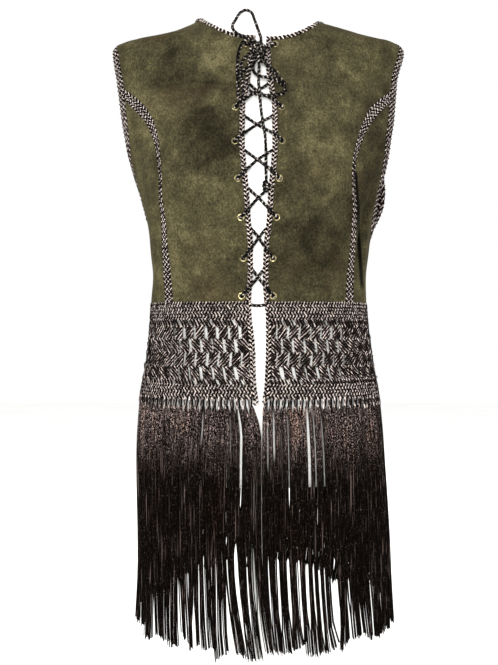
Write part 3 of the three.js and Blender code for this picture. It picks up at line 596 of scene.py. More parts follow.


# %% [markdown]
# Suede is the split side of the hide. Its nap lies in all directions, so the surface
# scatters light softly, looks lighter where it turns away, and shows uneven dye, hand
# marks and worn patches. The colour is built from blotches of several sizes, placed dark
# and light patches, painted shade in the folds and a fine grain; the nap is a fine bump with a sheen.

# %% Suede
DARK_PATCHES = [  # x, z, reach, strength
    [-60, 838, 52, 1.0],
    [-85, 862, 36, 0.35],
    [-38, 826, 30, 0.3],
    [-112, 937, 40, 0.6],
    [-85, 902, 38, 0.55],
    [-128, 985, 26, 0.3],
    [-45, 640, 40, 0.3],
    [44, 700, 70, 0.45],
    [95, 690, 70, 0.45],
    [60, 640, 60, 0.35],
    [46, 770, 30, 0.4],
    [30, 908, 18, 0.35],
    [150, 860, 26, 0.5],
    [-50, 822, 30, 0.25],
    [104, 835, 40, 0.3],
    [-142, 690, 24, 0.5],
    [164, 890, 24, 0.5],
    [145, 760, 40, 0.75],
    [165, 830, 40, 0.5],
    [150, 700, 34, 0.5],
]
LIGHT_PATCHES = [
    [-50, 962, 44, 0.8],
    [-40, 940, 34, 0.65],
    [-38, 700, 20, 0.3],
    [-160, 868, 44, 0.45],
    [-110, 700, 60, 0.3],
    [-60, 700, 40, 0.3],
    [-105, 650, 40, 0.3],
    [45, 955, 38, 0.5],
    [140, 950, 52, 0.5],
    [100, 900, 50, 0.25],
    [75, 842, 42, 0.5],
    [105, 800, 42, 0.5],
]


def patches(tree, position, ragged, rows):
    """How strongly the placed patches show, with ragged edges, on the front of the vest."""
    x, y, z = tree.axes(position)
    total = None
    for across, height, reach, strength in rows:
        dx = (x - across * MM) * (1 / (reach * MM))
        dz = (z - height * MM) * (1 / (reach * MM))
        away = (dx * dx + dz * dz) ** 0.5 + (ragged - 0.5) * 1.5
        share = (1 - tree.smooth(away, 0.25, 1.15)) * strength
        total = share if total is None else total + share
    return total * (y < 0)


# Painted shade: dark lines along the front's sharp folds and creases, where shade falls. The first
# three run in the deep tuck beside the right seam.
PAINTED_FOLD_SHADE_LINES = [  # from x, z to x, z, half width, strength
    [129.5, 786, 133, 748, 1.6, 1],
    [133, 748, 138, 700, 2.4, 1],
    [138, 700, 142.5, 648, 2.6, 1],
    [-132, 913, -90, 918, 1.6, 0.22],
    [-90, 918, -34, 910, 1.6, 0.3],
    [-86, 966, -92, 925, 2.2, 0.2],
    [60, 640, 118, 634, 1.6, 0.16],
]


def painted_fold_shade(tree, position):
    """How near the front's sharp folds and creases are, where shade is painted dark into the colour.
    """
    x, y, z = tree.axes(position)
    wander = (tree.noise(position, 60, 2) - 0.5) * (4 * MM)
    total = None
    for x0, z0, x1, z1, half, strength in PAINTED_FOLD_SHADE_LINES:
        run = math.hypot(x1 - x0, z1 - z0) * MM
        dx, dz = (x1 - x0) * MM / run, (z1 - z0) * MM / run
        along = (x - x0 * MM) * dx + (z - z0 * MM) * dz
        past = tree.maths("MAXIMUM", along - run, along * -1)
        aside = (x - x0 * MM) * dz - (z - z0 * MM) * dx + wander * (strength < 0.5)
        away = tree.maths("MAXIMUM", tree.maths("ABSOLUTE", aside), past * 0.3)
        share = (1 - tree.smooth(away, half * 0.5 * MM, half * 1.7 * MM)) * strength
        total = share if total is None else tree.maths("MAXIMUM", total, share)
    return total * (y < 0)


def suede_material():
    tree = Look(
        "olive_suede", Roughness=0.95, Sheen_Weight=0.06, Sheen_Roughness=0.5,
        Sheen_Tint=paint(170, 160, 120), Specular_IOR_Level=0.04)
    position = tree.place()
    large = tree.noise(position, 9, 3, 0.6)
    medium = tree.noise(position, 38, 4, 0.62)
    streaks = tree.noise(tree.stretched(position, 1.1, 1.1, 0.8), 330, 3, 0.65)
    grain = tree.noise(position, 560, 2, 0.7)
    ragged = tree.noise(position, 26, 4, 0.7)
    warm = tree.noise(position, 15, 3, 0.6)
    pale = patches(tree, position, ragged, LIGHT_PATCHES)
    placed = pale - patches(tree, position, ragged, DARK_PATCHES)
    tone = large * 0.22 + medium * 0.37 + streaks * 0.34 + grain * 0.35 + placed * 0.1 + 0.012
    base = tree.ramp(
        tone,
        (0.47, paint(20, 18, 11)),
        (0.57, paint(38, 35, 23)),
        (0.68, paint(58, 54, 36)),
        (0.8, paint(88, 82, 57)))
    brown = tree.smooth(warm, 0.5, 0.72) * 0.3
    base = tree.mix(base, paint(52, 40, 27), brown)
    # painted shade: near-black along the folds and creases
    base = tree.mix(base, paint(3, 3, 2), painted_fold_shade(tree, position))
    nap = tree.bump(0.35, 0.0006, grain * 0.6 + streaks * 0.8 + medium * 0.9)
    return tree.finish(Base_Color=base, Normal=nap)


# %% [markdown]
# The yarn is flecked: a near-black thread plied with a pale one. Each stitch carries a
# tone, from 0 for one that shows mostly the dark ply to 1 for one that shows the light
# ply, and its own coordinates along and round it, so the plies wind round every stitch.

# %% Yarn
YARN_DARK = paint(9, 6, 5)
YARN_LIGHT = paint(208, 194, 186)
YARN_MIDDLE = paint(52, 41, 38)


def attribute(tree, name):
    return tree.add("ShaderNodeAttribute", output=2, attribute_name=name)


def yarn_material():
    tree = Look("flecked_yarn", Roughness=0.85, Specular_IOR_Level=0.06)
    winding = attribute(tree, "share") * 2.2 + attribute(tree, "turn")
    wind = tree.maths("SINE", winding * (2 * math.pi))
    position = tree.place()
    specks = tree.smooth(tree.noise(position, 640, 1), 0.5, 0.62)
    tone = attribute(tree, "tone") + wind * 0.2 - specks * 0.34
    colour = tree.ramp(tone, (0.3, YARN_DARK), (0.55, YARN_MIDDLE), (0.8, YARN_LIGHT))
    fuzz = tree.noise(position, 1500, 2)
    bump = tree.bump(0.5, 0.0003, wind * 0.6 + fuzz)
    return tree.finish(Base_Color=colour, Normal=bump)


def ground_material():
    """The inner side of the crochet, which shows dark between the stitches, partly as the dark ply
    and partly as painted shade.
    """
    tree = Look("crochet_ground", Roughness=0.95, Specular_IOR_Level=0.03)
    position = tree.place()
    loops = tree.noise(position, 700, 1)
    # partly painted shade: near-black where the gaps between stitches lie in shade
    colour = tree.mix(paint(9, 7, 6), paint(58, 47, 42), tree.smooth(loops, 0.52, 0.66))
    bump = tree.bump(0.8, 0.0008, loops)
    return tree.finish(Base_Color=colour, Normal=bump)


# %% [markdown]
# The fringe is the same yarn in long loose strands. Its light ply shows as mauve-brown flecks, bright
# near the band as painted light from above, and the strands are painted darker towards the tips as
# shade.

# %% Fringe yarn and lacing cord
def fringe_material():
    tree = Look("fringe_yarn", Roughness=0.8, Specular_IOR_Level=0.01)
    position = tree.place()
    # painted light and shade: the pale flecks show fully near the band, as if lit from above, and
    # fade lower down
    lit = tree.smooth(tree.axes(position)[2], 0.37, 0.474)
    tuft = tree.noise(tree.stretched(position, 1, 1, 0.3), 40, 2)
    flecks = tree.noise(tree.stretched(position, 1, 1, 0.45), 1150, 1, 0.4)
    threads = tree.noise(tree.stretched(position, 1, 1, 0.02), 620, 1)
    own = attribute(tree, "tone") * 1.4 + 0.2
    shown = lit * (tree.smooth(tuft, 0.3, 0.66) * 0.75 + 0.25) * own + 0.012
    share = tree.smooth(flecks, 0.54, 0.66) * shown
    share = share + tree.smooth(flecks, 0.68, 0.74) * 0.2 + tree.smooth(threads, 0.62, 0.74) * 0.16
    pale = tree.mix(paint(178, 157, 150), paint(174, 146, 134), tree.smooth(tuft, 0.5, 0.66))
    colour = tree.mix(paint(5, 3, 2), pale, share)
    return tree.finish(Base_Color=colour)


def cord_material():
    tree = Look("lacing_cord", Roughness=0.75, Specular_IOR_Level=0.06)
    strand = attribute(tree, "strand")
    position = tree.place()
    worn = tree.noise(position, 420, 2)
    light = (strand < 0.5) * tree.smooth(worn, 0.5, 0.6)
    colour = tree.mix(paint(8, 7, 6), paint(186, 175, 167), light)
    bump = tree.bump(0.4, 0.0003, tree.noise(position, 1800, 1))
    return tree.finish(Base_Color=colour, Normal=bump)


# %% [markdown]
# The eyelets are rolled brass, polished by the cord where it runs over them. The form is
# covered in white jersey, a knit of fine upright ribs, and the stand is painted metal.

# %% Brass, jersey and paint
def brass_material():
    tree = Look("eyelet_brass", Metallic=1.0)
    colour, dull = tree.spotted(paint(138, 129, 96), paint(52, 47, 32), 300, 0.4, 0.7, 3)
    return tree.finish(Base_Color=colour, Roughness=dull * 0.3 + 0.22)


def jersey_material():
    tree = Look("white_jersey", Roughness=0.9, Sheen_Weight=0.2, Specular_IOR_Level=0.2)
    position = tree.place()
    shade = tree.noise(position, 12, 2)
    x, y, z = tree.axes(position)
    ribs = tree.maths("SINE", tree.maths("ARCTAN2", x, y) * 640)
    loops = tree.maths("SINE", z * (2 * math.pi / 0.0014))
    colour = tree.mix(paint(244, 244, 240), paint(252, 251, 248), shade)
    bump = tree.bump(0.25, 0.0002, ribs * 0.5 + loops * 0.5)
    return tree.finish(Base_Color=colour, Normal=bump)


def paint_material():
    tree = Look("stand_paint", Coat_Weight=0.2, Coat_Roughness=0.3)
    pale, scuffed = paint(240, 239, 236), paint(214, 212, 207)
    colour, scuffs = tree.spotted(pale, scuffed, 60, 0.58, 0.75, 4, 0.7)
    bump = tree.bump(0.1, 0.0002, tree.noise(tree.place(), 500, 2))
    return tree.finish(Base_Color=colour, Normal=bump, Roughness=scuffs * 0.2 + 0.35)


SUEDE_LOOK = suede_material()
YARN_LOOK = yarn_material()
GROUND_LOOK = ground_material()
FRINGE_LOOK = fringe_material()
CORD_LOOK = cord_material()
BRASS_LOOK = brass_material()
JERSEY_LOOK = jersey_material()
PAINT_LOOK = paint_material()
print("materials:", [m.name for m in bpy.data.materials])

# %% [markdown]
# ## Making meshes
#
# A wall of cloth is a grid of spots, moved half the thickness each way along the
# surface's own direction and closed round its rim. Other solids are rings of points with
# quads between them. All are worked out in millimetres and made in metres.


# %% Mesh helpers
def add_object(name, mesh):
    made = bpy.data.objects.new(name, mesh)
    bpy.context.scene.collection.objects.link(made)
    return made


def faces_out(vertices, faces):
    """The faces, turned round if they enclose a negative volume."""
    fans = np.array([[f[0], f[i], f[i + 1]] for f in faces for i in range(1, len(f) - 1)])
    a, b, c = [vertices[fans[:, i]] for i in range(3)]
    return [f[::-1] for f in faces] if (a * np.cross(b, c)).sum() < 0 else faces


def solid(name, vertices, faces, material, sharp=50):
    vertices = np.asarray(vertices, float).reshape(-1, 3)
    mesh = bpy.data.meshes.new(name)
    mesh.from_pydata((vertices * MM).tolist(), [], faces_out(vertices, faces))
    mesh.shade_smooth()
    mesh.set_sharp_from_angle(angle=math.radians(sharp))
    mesh.materials.append(material)
    return add_object(name, mesh)


def wall_faces(high, wide, first=0, ring=False):
    """Quads of a closed wall whose outer grid of points is followed by its inner grid."""
    inner = high * wide
    columns = wide if ring else wide - 1
    faces = []
    for j in range(high - 1):
        for i in range(columns):
            n = (i + 1) % wide
            a, b, c, d = j * wide + i, j * wide + n, (j + 1) * wide + n, (j + 1) * wide + i
            faces += [[a, b, c, d], [inner + d, inner + c, inner + b, inner + a]]
    for i in range(columns):
        n = (i + 1) % wide
        a, b = (high - 1) * wide + i, (high - 1) * wide + n
        faces += [[inner + i, inner + n, n, i], [a, b, inner + b, inner + a]]
    if not ring:
        for j in range(high - 1):
            for column, turn in ((0, 1), (wide - 1, -1)):
                a, b = j * wide + column, (j + 1) * wide + column
                faces.append([inner + a, a, b, inner + b][::turn])
    return [[first + v for v in face] for face in faces]


def ring_faces(rings, count, first=0, close=False):
    """Quads between rings of points, with a face over each end unless the last meets the first."""
    faces = []
    for j in range(rings if close else rings - 1):
        low, high = j * count, (j + 1) % rings * count
        for i in range(count):
            n = (i + 1) % count
            faces.append([low + i, low + n, high + n, high + i])
    if not close:
        faces += [list(range(count))[::-1], list(range((rings - 1) * count, rings * count))]
    return [[first + v for v in face] for face in faces]


def wall(name, rows, thickness, material, ring=False):
    """A wall of cloth over a grid of spots, half its thickness to each side."""
    rows = np.asarray(rows, float)
    vertices = [lifted(rows, out) for out in (thickness / 2, -thickness / 2)]
    return solid(name, vertices, wall_faces(*rows.shape[:2], ring=ring), material)


def evaluated(made):
    """The object with its modifiers worked into a plain mesh."""
    graph = bpy.context.evaluated_depsgraph_get()
    mesh = bpy.data.meshes.new_from_object(made.evaluated_get(graph))
    made.modifiers.clear()
    made.data = mesh
    return made


def triangles(made):
    return sum(len(p.vertices) - 2 for p in made.data.polygons)


def joined(name, *objects):
    """Several objects' meshes as one object."""
    with bpy.context.temp_override(active_object=objects[0],
                                   selected_editable_objects=list(objects)):
        bpy.ops.object.join()
    objects[0].name = name
    objects[0].data.name = name
    return objects[0]


# %% [markdown]
# ## Suede panels
#
# Each panel is a grid stretched between its four seam lines, so that its creases run with
# the cloth and its edges meet the braid. The two fronts are punched where the eyelets go.

# %% Panels
EYELET = {"hole": 2.6, "barrel": 3.5, "flange": 5.2, "roll": 0.8, "lift": 0.7, "height": 1.1,
          "inset": 12.8}
EYELET_ROWS = np.array([624, 674, 727, 778, 829, 877, 926, 971.0])
PUNCH = {"sides": 12, "reach": 4}


def patch(bottom, top, start, end):
    """A grid of spots stretched between the four lines round it."""
    u = np.linspace(0, 1, len(bottom))[None, :, None]
    v = np.linspace(0, 1, len(start))[:, None, None]
    upright = between(bottom[None], top[None], v)
    level = between(start[:, None], end[:, None], u)
    corners = between(between(bottom[0], bottom[-1], u), between(top[0], top[-1], u), v)
    return upright + level - corners


def shoulder(side, facing, neck_height, tip_height):
    heights = np.linspace(neck_height, tip_height, SHOULDER * FINE + 1)
    short = GAP / 2 / CLOTH.at(side, heights)
    return np.stack([SIGN[side] * (QUARTER - facing * short), heights], -1)


def eyelet_spots(side):
    x = OPENING.at(side, EYELET_ROWS) + SIGN[side] * EYELET["inset"]
    return flat_spot(x, EYELET_ROWS, 1)


def punched(panel, side):
    """The panel with a hole through it at each eyelet."""
    turn = circle(PUNCH["sides"])
    vertices, faces = [], []
    for angle, z in eyelet_spots(side):
        round_, _, out = surface_frame(angle, z)
        across = unit(round_)
        upright = np.cross(out, across)
        ring = np.outer(np.cos(turn), across) + np.outer(np.sin(turn), upright)
        ring = on_cloth(angle, z) + ring * (EYELET["barrel"] + GAP)
        faces += ring_faces(2, PUNCH["sides"], len(vertices))
        vertices += [*(ring - out * PUNCH["reach"]), *(ring + out * PUNCH["reach"])]
    punch = solid("punch", vertices, faces, SUEDE_LOOK)
    cut = panel.modifiers.new("punch", "BOOLEAN")
    cut.object = punch
    cut.solver = "EXACT"
    evaluated(panel)
    bpy.data.objects.remove(punch)
    return panel


def front_panel(side):
    lines = seams[side]
    inner = lines["front"][0]
    if side == "right":
        neck = neck_cut[FINE:NECK_RIGHT * FINE + 1]
    else:
        neck = neck_cut[NECK_LEFT * FINE:len(neck_cut) - FINE][::-1] - [2 * math.pi, 0]
    arm = lines["cut"][:CORNER * FINE + 1][::-1]
    top = np.concatenate([neck[:-1], shoulder(side, 1, neck[-1, 1], arm[-1, 1])])
    end = np.concatenate([inner[:-1], arm])
    end[-1] = top[-1]
    heights = np.linspace(SUEDE_HEM, neck[0, 1], len(end))
    start = flat_spot(OPENING.at(side, heights) + SIGN[side] * (EDGE_BRAID + GAP), heights, 1)
    start[-1] = neck[0]
    bottom = straight(start[0], end[0], len(top) - 1)
    grid = patch(bottom, top, start, end)
    return punched(wall(f"suede_front_{side}", grid, SUEDE, SUEDE_LOOK), side)


def side_panel(side):
    lines = seams[side]
    start, end = lines["front"][1], lines["back"][1]
    top = lines["cut"][(CORNER + 1) * FINE:(LOOP - CORNER - 1) * FINE + 1]
    lowest = int(top[:, 1].argmin())
    under = [top[lowest, 0], SUEDE_HEM]
    bottom = np.concatenate([straight(start[0], under, lowest),
                             straight(under, end[0], len(top) - 1 - lowest)[1:]])
    return wall(f"suede_side_{side}", patch(bottom, top, start, end), SUEDE, SUEDE_LOOK)


def back_edge(side):
    arm = seams[side]["cut"][(LOOP - CORNER) * FINE:]
    return unwound(np.concatenate([seams[side]["back"][0][:-1], arm]))


def back_panel():
    start, end = back_edge("right"), back_edge("left")
    neck = neck_cut[NECK_RIGHT * FINE:NECK_LEFT * FINE + 1]
    right = shoulder("right", -1, neck[0, 1], start[-1, 1])[::-1]
    left = unwound(shoulder("left", -1, neck[-1, 1], end[-1, 1]))
    top = np.concatenate([right, neck[1:-1], left])
    start[-1], end[-1] = top[0], top[-1]
    bottom = straight(start[0], end[0], len(top) - 1)
    return wall("suede_back", patch(bottom, top, start, end), SUEDE, SUEDE_LOOK)


panels = {f"front_{side}": front_panel(side) for side in SIGN}
panels.update({f"side_{side}": side_panel(side) for side in SIGN})
panels["back_panel"] = back_panel()
print("panel triangles:", {name: triangles(made) for name, made in panels.items()})

# %% [markdown]
# ## Crochet
#
# Crochet is thousands of small slanted stitches. One Geometry Nodes tree makes them all:
# a stitch is a short arched strand with tapered ends, and it is put on every point of a
# cloud whose attributes say which way it runs, which way is out, how large it is and
# which ply shows. The clouds are worked out here from the seam lines.


# %% The stitch tree
def node_group(name, *inputs):
    """An empty Geometry Nodes tree with a geometry input, named inputs and an output."""
    group = bpy.data.node_groups.new(name, "GeometryNodeTree")
    group.interface.new_socket("Geometry", in_out="INPUT", socket_type="NodeSocketGeometry")
    for label, kind in inputs:
        group.interface.new_socket(label, in_out="INPUT", socket_type=kind)
    group.interface.new_socket("Geometry", in_out="OUTPUT", socket_type="NodeSocketGeometry")
    tree = Tree(group)
    entry = group.nodes.new("NodeGroupInput")
    return tree, [Socket(tree, socket) for socket in entry.outputs[:-1]]


def finish_group(tree, geometry, material):
    """Every tree ends in Realize Instances, smooth shading and Set Material."""
    geometry = tree.add("GeometryNodeRealizeInstances", {0: geometry})
    geometry = tree.add("GeometryNodeSetShadeSmooth", {0: geometry})
    geometry = tree.add("GeometryNodeSetMaterial", {0: geometry, "Material": material})
    end = tree.tree.nodes.new("NodeGroupOutput")
    tree.tree.links.new(geometry.socket, end.inputs[0])
    return tree.tree


def named(tree, name, kind="FLOAT"):
    return tree.add("GeometryNodeInputNamedAttribute", {"Name": name}, data_type=kind)


def store(tree, geometry, name, value, domain="POINT"):
    return tree.add("GeometryNodeStoreNamedAttribute", {
        "Geometry": geometry, "Name": name, "Value": value}, data_type="FLOAT", domain=domain)


def stitch_tree():
    tree, (points, sides, rings, material) = node_group(
        "stitches", ("Sides", "NodeSocketInt"), ("Rings", "NodeSocketInt"),
        ("Material", "NodeSocketMaterial"))
    spine = tree.add("GeometryNodeCurveQuadraticBezier", {
        "Resolution": rings,
        "Start": (-0.5, 0, -0.25), "Middle": (0, 0, 0.45), "End": (0.5, 0, -0.25)})
    share = tree.add("GeometryNodeSplineParameter")
    spine = store(tree, spine, "share", share)
    rim = tree.add("GeometryNodeCurvePrimitiveCircle", {"Resolution": sides, "Radius": 0.5})
    rim = store(tree, rim, "turn", share)
    full = tree.maths("SINE", named(tree, "share") * math.pi) ** 0.5 * 0.62 + 0.38
    strand = tree.add("GeometryNodeCurveToMesh", {
        "Curve": spine, "Profile Curve": rim, "Scale": full, "Fill Caps": True})
    facing = tree.add("FunctionNodeAxesToRotation", {
        0: named(tree, "along", "FLOAT_VECTOR"), 1: named(tree, "out", "FLOAT_VECTOR")},
        primary_axis="X", secondary_axis="Z")
    stitches = tree.add("GeometryNodeInstanceOnPoints", {
        "Points": points, "Instance": strand, "Rotation": facing,
        "Scale": named(tree, "size", "FLOAT_VECTOR")})
    return finish_group(tree, stitches, material)


STITCH_TREE = stitch_tree()


def grown(name, mesh, group, **inputs):
    """The plain mesh that a Geometry Nodes tree grows on a mesh."""
    made = add_object(name, mesh)
    grow = made.modifiers.new("grow", "NODES")
    grow.node_group = group
    for item in group.interface.items_tree:
        if item.in_out == "INPUT" and item.name in inputs:
            grow[item.identifier] = inputs[item.name]
    return evaluated(made)


def loose_mesh(name, points, edges=(), **attributes):
    """A mesh of points without faces, with a number or a vector at each for every attribute."""
    mesh = bpy.data.meshes.new(name)
    mesh.from_pydata((points * MM).tolist(), edges, [])
    for label, values in attributes.items():
        values = np.asarray(values, np.float32)
        kind, key = ("FLOAT", "value") if values.ndim == 1 else ("FLOAT_VECTOR", "vector")
        mesh.attributes.new(label, kind, "POINT").data.foreach_set(key, values.ravel())
    return mesh


# %% Laying stitches
chance = np.random.default_rng(7)
UNEVEN = {"thick": 0.12, "along": 0.07, "tone": 0.09}
PALE_TONE = 0.98
DARK_TONE = 0.02
DARK_THICK = 1.08


def lay(start, end, thick, tone, out, over=1.15):
    """Stitches from start spots to end spots, lying a little way out of the cloth.

    Each differs a little from the others in thickness, direction and tone.
    """
    start, end = np.broadcast_arrays(start, end)
    a, b = lifted(start, out), lifted(end, out)
    reach = np.linalg.norm(b - a, axis=-1)
    away = surface_frame(*between(start, end, 0.5).T)[2]
    some = UNEVEN["thick"]
    thick = np.broadcast_to(thick, len(start)) * chance.uniform(1 - some, 1 + some, len(start))
    return {
        "points": (a + b) / 2,
        "along": unit(b - a + chance.normal(0, UNEVEN["along"], a.shape) * reach[:, None]),
        "out": away,
        "size": np.stack([reach * over, thick, thick], -1) * MM,
        "tone": np.clip(tone + chance.normal(0, UNEVEN["tone"], len(start)), 0, 1),
    }


def crocheted(name, batches, rings=4):
    """Batches of stitches made into one piece of yarn."""
    together = {key: np.concatenate([batch[key] for batch in batches]) for key in batches[0]}
    mesh = loose_mesh(name, together.pop("points"), **together)
    return grown(name, mesh, STITCH_TREE, Sides=5, Rings=rings, Material=YARN_LOOK)


class Strip:
    """The stretch of cloth between two rails of spots, with places given as shares."""

    def __init__(self, inner, outer):
        self.inner = inner
        self.outer = outer
        self.run = lengths(on_cloth(*between(inner, outer, 0.5).T))
        self.length = self.run[-1]

    def place(self, along, across):
        along, across = np.broadcast_arrays(np.asarray(along, float), across)
        at = np.clip(along, 0, 1) * self.length
        rails = [np.stack([np.interp(at, self.run, rail[:, c]) for c in range(2)], -1)
                 for rail in (self.inner, self.outer)]
        return between(rails[0], rails[1], across[..., None])


def herringbone(strip, columns, pitch, lean, thick, pale=0.82, out=0.75):
    """Columns of slanted stitches along a strip, each column leaning against the last."""
    count = max(int(strip.length / pitch), 4)
    step = 1 / count
    along = (np.arange(count) + 0.5) * step
    batches = []
    for column in range(columns):
        low, high = column / columns, (column + 1) / columns
        slant = lean * step * (1 if column % 2 else -1)
        light = (np.arange(count) + column) % 2
        start, end = strip.place(along - slant / 2, low), strip.place(along + slant / 2, high)
        width = thick * np.where(light, pale, DARK_THICK)
        batches.append(lay(start, end, width, np.where(light, PALE_TONE, DARK_TONE), out))
    return batches


WHIP = {"spacing": 1.5, "thick": 0.7, "over_suede": 1.3, "over_braid": 0.9, "out": 0.9}


def whip(strip, pitch, thick):
    """Finer stitches over the strip's inner rail, into holes in the suede beside it."""
    count = max(int(strip.length / (pitch * WHIP["spacing"])), 4)
    along = (np.arange(count) + 0.5) / count
    rails = [on_cloth(*strip.place(along, across).T) for across in (0, 1)]
    width = np.linalg.norm(rails[0] - rails[1], axis=-1)
    start = strip.place(along, -WHIP["over_suede"] / width)
    end = strip.place(along, WHIP["over_braid"] / width)
    tone = np.where(np.arange(count) % 2, 0.5, 0.05)
    return [lay(start, end, thick * WHIP["thick"], tone, WHIP["out"])]


# %% [markdown]
# Every edge of the suede is bound with a crocheted braid, and a like braid is let into
# the curved front and back seams. A thin dark ground closes each braid. One to five
# columns of slanted stitches cover it, dark and pale by turns, and finer stitches reach
# over into the suede. The armholes are covered on their inner side as well.

# %% Edgings and seam braids
GROUND = 1.2
SEAM_STITCH = {"columns": 4, "pitch": 3.4, "lean": 0.9, "thick": 2.1, "pale": 0.6}
ARM_STITCH = {"columns": 5, "pitch": 3.5, "lean": 0.9, "thick": 2.1, "pale": 0.6}
ARM_INSIDE = {"columns": 2, "pitch": 5.25, "lean": 0.9, "thick": 2.94, "out": -0.75}
EDGE_STITCH = {"columns": 2, "pitch": 2.9, "lean": 0.9, "thick": 2.3}
NECK_STITCH = {"columns": 1, "pitch": 2.9, "lean": 0.8, "thick": 2.7}


def braid(name, inner, outer, stitch, ring=False, sewn_both=False):
    """A braid between two rails: its ground, its stitches, and those that sew it on."""
    rows = np.stack([outer, inner])[:, :-1 if ring else None]
    ground = wall(name, rows, GROUND, GROUND_LOOK, ring)
    strip = Strip(inner, outer)
    batches = herringbone(strip, **stitch)
    for sewn in [strip, Strip(outer, inner)] if sewn_both else [strip]:
        batches += whip(sewn, stitch["pitch"], stitch["thick"])
    if ring:
        batches += herringbone(strip, **ARM_INSIDE)
    return joined(name, ground, crocheted(name + "_stitches", batches, rings=3))


def front_edge(side):
    heights = np.linspace(SUEDE_HEM, NECKLINE[side]["front"], 80)
    x = OPENING.at(side, heights)
    return (flat_spot(x + SIGN[side] * EDGE_BRAID, heights, 1), flat_spot(x, heights, 1))


trims = {"edging_neck": braid("neck_edging", neck_sewn, neck_free, NECK_STITCH)}
for side in SIGN:
    lines = seams[side]
    trims[f"edging_armhole_{side}"] = braid(
        f"armhole_edging_{side}", lines["sewn"], lines["free"], ARM_STITCH, ring=True)
    trims[f"edging_front_{side}"] = braid(f"front_edging_{side}", *front_edge(side), EDGE_STITCH)
    for seam in ("front", "back"):
        trims[f"braid_{seam}_{side}"] = braid(
            f"{seam}_seam_braid_{side}", *lines[seam], SEAM_STITCH, sewn_both=True)
print("trim triangles:", {name: triangles(made) for name, made in trims.items()})

# %% [markdown]
# ## The waistband
#
# The band is worked in courses. Close herringbone courses run along its top and bottom.
# Between them lie a low course, four tall ones and a low one again, all of clusters with
# upright slits between them. The strands of every second course rise to the right, and
# those of the others to the left. The slits are open at the front and the back, and
# close towards the side seams. A table gives the courses.

# %% Courses
BAND_MIDDLE = 546
BAND_ROWS = np.linspace(BAND_HEM, SUEDE_HEM, 29)
FRONT_LINES = {side: flat_spot(OPENING.at(side, BAND_ROWS), BAND_ROWS, 1) for side in SIGN}
GIRTH_SHARES = np.linspace(0, 1, 721)
PAST_EDGE = 1.3


def front_angles(z):
    """The angles of the band's right and left front edges, the left reached round the back."""
    right, left = [np.interp(z, line[:, 1], line[:, 0])
                   for line in (FRONT_LINES["right"], FRONT_LINES["left"])]
    return right, left + 2 * math.pi


def girth_table():
    """Where an even share of the way round the waist lies as a share of the whole angle."""
    angles = between(*front_angles(BAND_MIDDLE), GIRTH_SHARES)
    run = lengths(on_cloth(angles, np.full(len(angles), BAND_MIDDLE)))
    return run / run[-1], run[-1]


GIRTH_RUN, GIRTH = girth_table()


def band_spot(share, z):
    """The spot a share of the way round the band, from the right front edge to the left."""
    share, z = np.broadcast_arrays(np.asarray(share, float), np.asarray(z, float))
    past = (share - np.clip(share, 0, 1)) * PAST_EDGE
    turned = np.interp(share, GIRTH_RUN, GIRTH_SHARES) + past
    return np.stack([between(*front_angles(z), turned), z], -1)


COURSES = [  # top, bottom, lean, pitch, strands in a cluster, slit
    [615.7, 611, 3.4, 2.25, 1, 0],
    [611, 606.5, -3.4, 2.25, 1, 0],
    [606.5, 602, 3.4, 2.25, 1, 0],
    [602, 597.5, -3.4, 2.25, 1, 0],
    [597.5, 593, 3.4, 2.25, 1, 0],
    [593.5, 584, -5, 15.6, 6, 2.6],
    [583.5, 566.5, 0.8, 15.6, 10, 4.2],
    [566, 548, -0.4, 15.6, 10, 3.8],
    [547.5, 529.5, 1.4, 15.6, 10, 4.0],
    [529, 512, -3.4, 15.6, 10, 4.2],
    [511.5, 504, -4, 15.6, 6, 2.4],
    [504.5, 500, 3.4, 2.25, 1, 0],
    [500, 495.5, -3.4, 2.25, 1, 0],
    [495.5, 491, 3.4, 2.25, 1, 0],
    [491, 486.5, -3.4, 2.25, 1, 0],
]
SLOPE_ANGLE = math.radians(42)
SLOPE = math.tan(SLOPE_ANGLE)
SLOPE_PITCH = 1.95 / math.cos(SLOPE_ANGLE)
SLOPED = 8
SLIT = {"border": 12, "fade": 3, "closed": 68, "opening": 36, "least": 0.05, "place": 13}


def slit_share(share):
    """How far the slits are open: fully at the front and back, not at all at the sides."""
    from_front = np.minimum(share, 1 - share) * GIRTH
    from_side = abs(from_front - GIRTH / 4)
    beside = np.clip((from_front - SLIT["border"]) / SLIT["fade"], 0, 1)
    return beside * np.clip((from_side - SLIT["closed"]) / SLIT["opening"], SLIT["least"], 1)


def strands_rise(top):
    """Which way an open course's strands rise: to the right (1) in every second course."""
    rows = [row[0] for row in COURSES if row[4] > 1]
    return 1 if rows.index(top) % 2 else -1


def cluster_spans(course):
    """Where the clusters of a course begin and how wide they are, as shares of the girth."""
    top, _, _, pitch, strands, slit = course
    shift = 0.5 if strands > 1 and strands_rise(top) < 0 else 0
    whole = int(GIRTH / pitch)
    first = np.arange(-1 if shift else 0, whole) + shift
    count = len(first)
    first = (first + (strands > 1) * chance.uniform(-0.06, 0.06, count)) / whole
    opened = slit / pitch * slit_share(first + SLIT["place"] / GIRTH)
    return first, (1 - opened * chance.uniform(0.6, 1.15, count)) / whole


